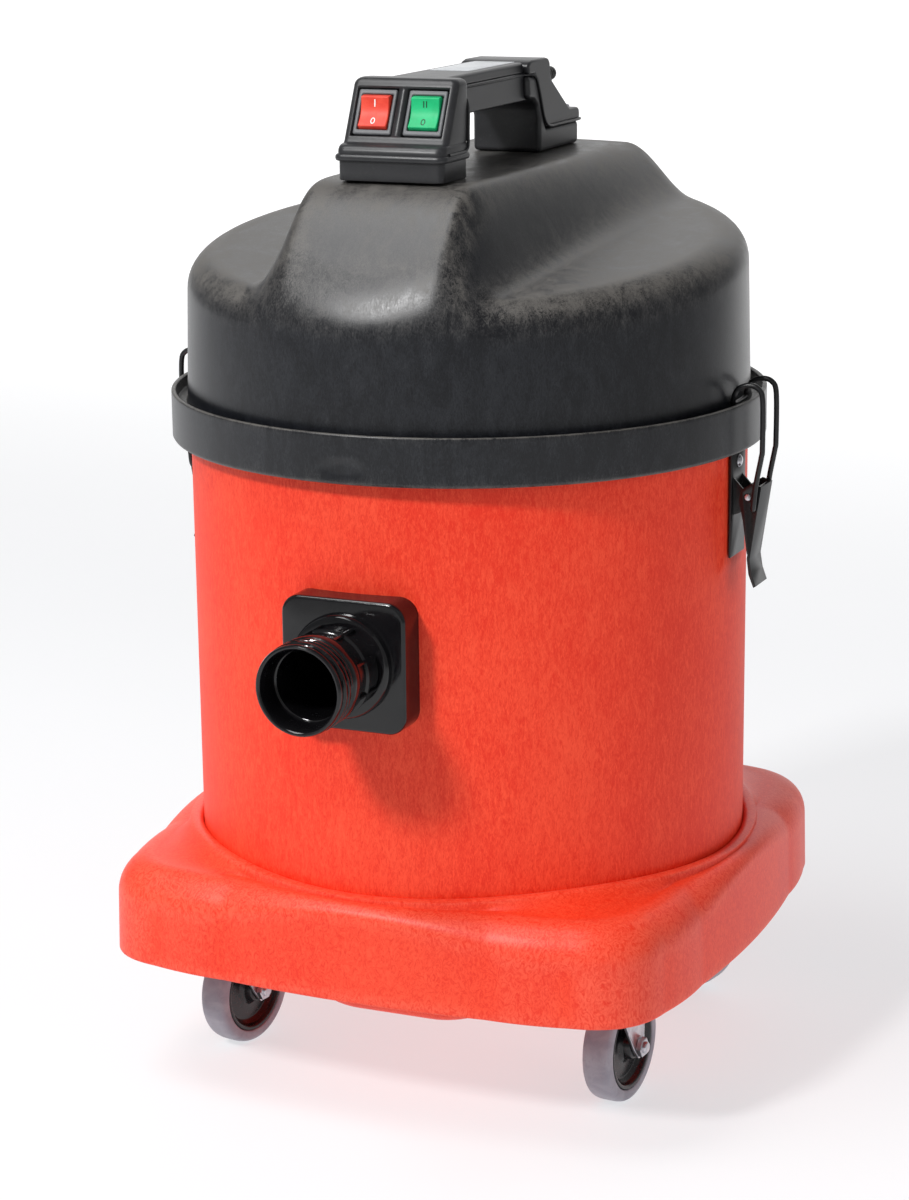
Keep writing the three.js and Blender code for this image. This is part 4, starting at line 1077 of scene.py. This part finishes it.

# %% [markdown]
# ## The casters
# Each caster is a plate with its ball race, a pressed fork, an axle bolt, a black hub with a deep dish and
# a grey tyre. Its place and the way it points come from the wheel's joint in the record: the wheel's own
# axis gives the direction across, and the upright axis is straight up.

# %% Wheel profiles
hub_line = smooth_profile([
    (4.3, -11.6), (8.4, -11.6), (9.6, -6.4), (12, -4.4), (22.6, -3.6), (25.4, -6.2), (26.6, -9.4),
    (29.0, -9.6), (29.0, 9.6), (26.6, 9.4), (25.4, 6.2), (22.6, 3.6), (12, 4.4), (9.6, 6.4),
    (8.4, 11.6), (4.3, 11.6), (4.3, -11.6)], 0.9, 4)
tyre_line = smooth_profile([
    (29.3, 0), (29.3, -9.2), (30.4, -9.9), (34.4, -10.0), (36.6, -8.6), (37.5, -5.0), (37.5, 0), (37.5, 5.0),
    (36.6, 8.6), (34.4, 10.0), (30.4, 9.9), (29.3, 9.2), (29.3, 0)], 1.6, 6)


def hexagon(radius, low, high):
    """A hexagonal head with a chamfered top."""
    turn = np.arange(6) * np.pi / 3
    flat = np.column_stack([np.cos(turn), np.sin(turn)])
    rows = [(0, low), (radius, low), (radius, high - 0.5), (radius - 0.7, high), (0, high)]
    return np.stack([np.column_stack([flat * r, np.full(6, z)]) for r, z in rows])


bolt_end = smooth_profile([(0, 17.4), (3.9, 17.4), (3.9, 19.4), (3.1, 20.2), (0, 20.2)], 0.3, 3)
shank = [(0, -17), (4.0, -17), (4.0, 18), (0, 18)]

# %% Casters
joints = {joint["name"]: joint for joint in frame["joints"]}
for place_name in ("front_right", "front_left", "rear_right", "rear_left"):
    wheel_joint = joints[f"wheel_{place_name}_roll"]
    middle = np.array(wheel_joint["pos_m"]) * 1000 - (0, AXIS_Y, 0)
    axis = np.array(wheel_joint["axis"])
    to_place = np.stack([axis, np.cross((0, 0, 1), axis), (0, 0, 1)])

    def placed(grid, base=middle, directions=to_place):
        return facing_right(grid) @ directions + base

    wheel_body, swivel_body = f"wheel_{place_name}", f"swivel_{place_name}"
    piece(f"wheel_hub_{place_name}", [surface(placed(lathe(hub_line, 72)))], wheel_body, HUB,
          replaces=[f"hub_{place_name}"], sharp=38)
    piece(f"wheel_tyre_{place_name}", [surface(placed(lathe(tyre_line, 96)))], wheel_body, TYRE,
          replaces=[f"tyre_{place_name}"], sharp=38)
    bolt = [placed(lathe(shank, 24)), placed(lathe(bolt_end, 24)), placed(hexagon(6.6, 14.7, 18.2)),
            placed(hexagon(6.2, -18.6, -14.7))]
    piece(f"axle_bolt_{place_name}", [surface(part) for part in bolt], swivel_body, ZINC,
          replaces=[f"axle_{place_name}"], sharp=30)
    plate_copy(f"caster_fork_{place_name}", f"fork_{place_name}", swivel_body, ZINC, 0.8)
    plate_copy(f"caster_plate_{place_name}", f"plate_{place_name}", "body", ZINC, 0.8)

# %% [markdown]
# ## Pieces inside
# The motors, the filter and the elbow keep their frame solids, because they are shut in. They still get
# a finish each, so that nothing is left plain where it shows through the inlet.

# %% Finishes for the carried-over nodes
INNER = {"inlet_elbow": DARK, "motor_plate": DARK, "filter_ring": DARK, "lid_seal": GLAND,
         "motor_left": ZINC, "motor_right": ZINC, "filter_bag": FELT}
for node, inner_finish in INNER.items():
    frame["nodes"][node].material_slots[0].material = inner_finish
print("carried over", sorted(INNER))

# %% [markdown]
# ## Floor and light
# The machine stands on a plain white floor in soft light: a small panel high on the left gives the
# shading and the shadow of the inlet, a large weak one fills in from the right, and a wide panel overhead
# lights the head. Floor and backdrop are one round bowl. It is painted so that it shines white behind the
# machine, which gives the sheen on the shoulders, and stays dim at the sides, so that the black walls stay
# black.

# %% Floor and backdrop
lean = np.linspace(0, np.pi / 2, 13)
BEND_R = 2.5
bend_line = np.column_stack([5.5 + BEND_R * np.sin(lean), BEND_R - BEND_R * np.cos(lean)])
bowl_line = np.concatenate([[(0, 0), (3, 0)], bend_line, [(8, 9)]])


def studio_paint(here):
    cloud = grain(here, 1.5, detail=2)
    across = here.make("SeparateXYZ", {"Vector": here}, output=0)
    along = here.make("SeparateXYZ", {"Vector": here}, output=1)
    window = across.between(-6.0, -4.6) * (1 - across.between(0.8, 3.0)) * along.between(-2.2, -1.0)
    shine = along.between(0.9, 3.6).blend(colour(0.61, 0.615, 0.63), colour(0.98, 0.98, 0.98))
    return {
        "Base Color": cloud.blend(colour(0.35, 0.35, 0.35), colour(0.39, 0.39, 0.39)),
        "Roughness": 0.85,
        "Emission Color": window.blend(colour(0.14, 0.14, 0.14), shine),
        "Emission Strength": 1.0,
        "Specular IOR Level": 0.1,
    }


bowl_points, bowl_faces = surface(lathe(bowl_line, 96))
bowl_mesh = bpy.data.meshes.new("studio bowl")
bowl_mesh.from_pydata(bowl_points, [], bowl_faces.tolist())
bowl_mesh.shade_smooth()
bowl_mesh.materials.append(finish("studio bowl paint", studio_paint))
bowl = bpy.data.objects.new("studio bowl", bowl_mesh)
bpy.context.scene.collection.objects.link(bowl)


# %% Lights
def panel(name, place, target, width, height, power):
    """A rectangular lamp at a place, turned to face its target."""
    light = bpy.data.lights.new(name, "AREA")
    light.shape = "RECTANGLE"
    light.size, light.size_y = width, height
    light.energy = power
    lamp = bpy.data.objects.new(name, light)
    ahead = np.array(target, float) - place
    ahead /= np.linalg.norm(ahead)
    right = np.cross(ahead, (0, 0, 1))
    right /= np.linalg.norm(right)
    facing = np.column_stack([right, np.cross(right, ahead), -ahead])
    lamp.matrix_world = Matrix.Translation(place) @ Matrix(facing.tolist()).to_4x4()
    bpy.context.scene.collection.objects.link(lamp)
    return lamp


panel("key panel", (-1.12, -2.85, 2.75), (0, 0, 0.35), 0.5, 0.5, 100)
fill = panel("fill panel", (3.2, -0.6, 1.4), (0, 0, 0.3), 1.2, 1.8, 15)
fill.visible_glossy = False
panel("top panel", (-0.95, -0.75, 3.1), (0, 0, 0.5), 1.3, 1.3, 40)

world = bpy.data.worlds.new("studio")
world.use_nodes = True
background = world.node_tree.nodes["Background"]
background.inputs["Color"].default_value = (1, 1, 1, 1)
background.inputs["Strength"].default_value = 0.09
bpy.context.scene.world = world
bpy.context.scene.view_settings.view_transform = "Standard"
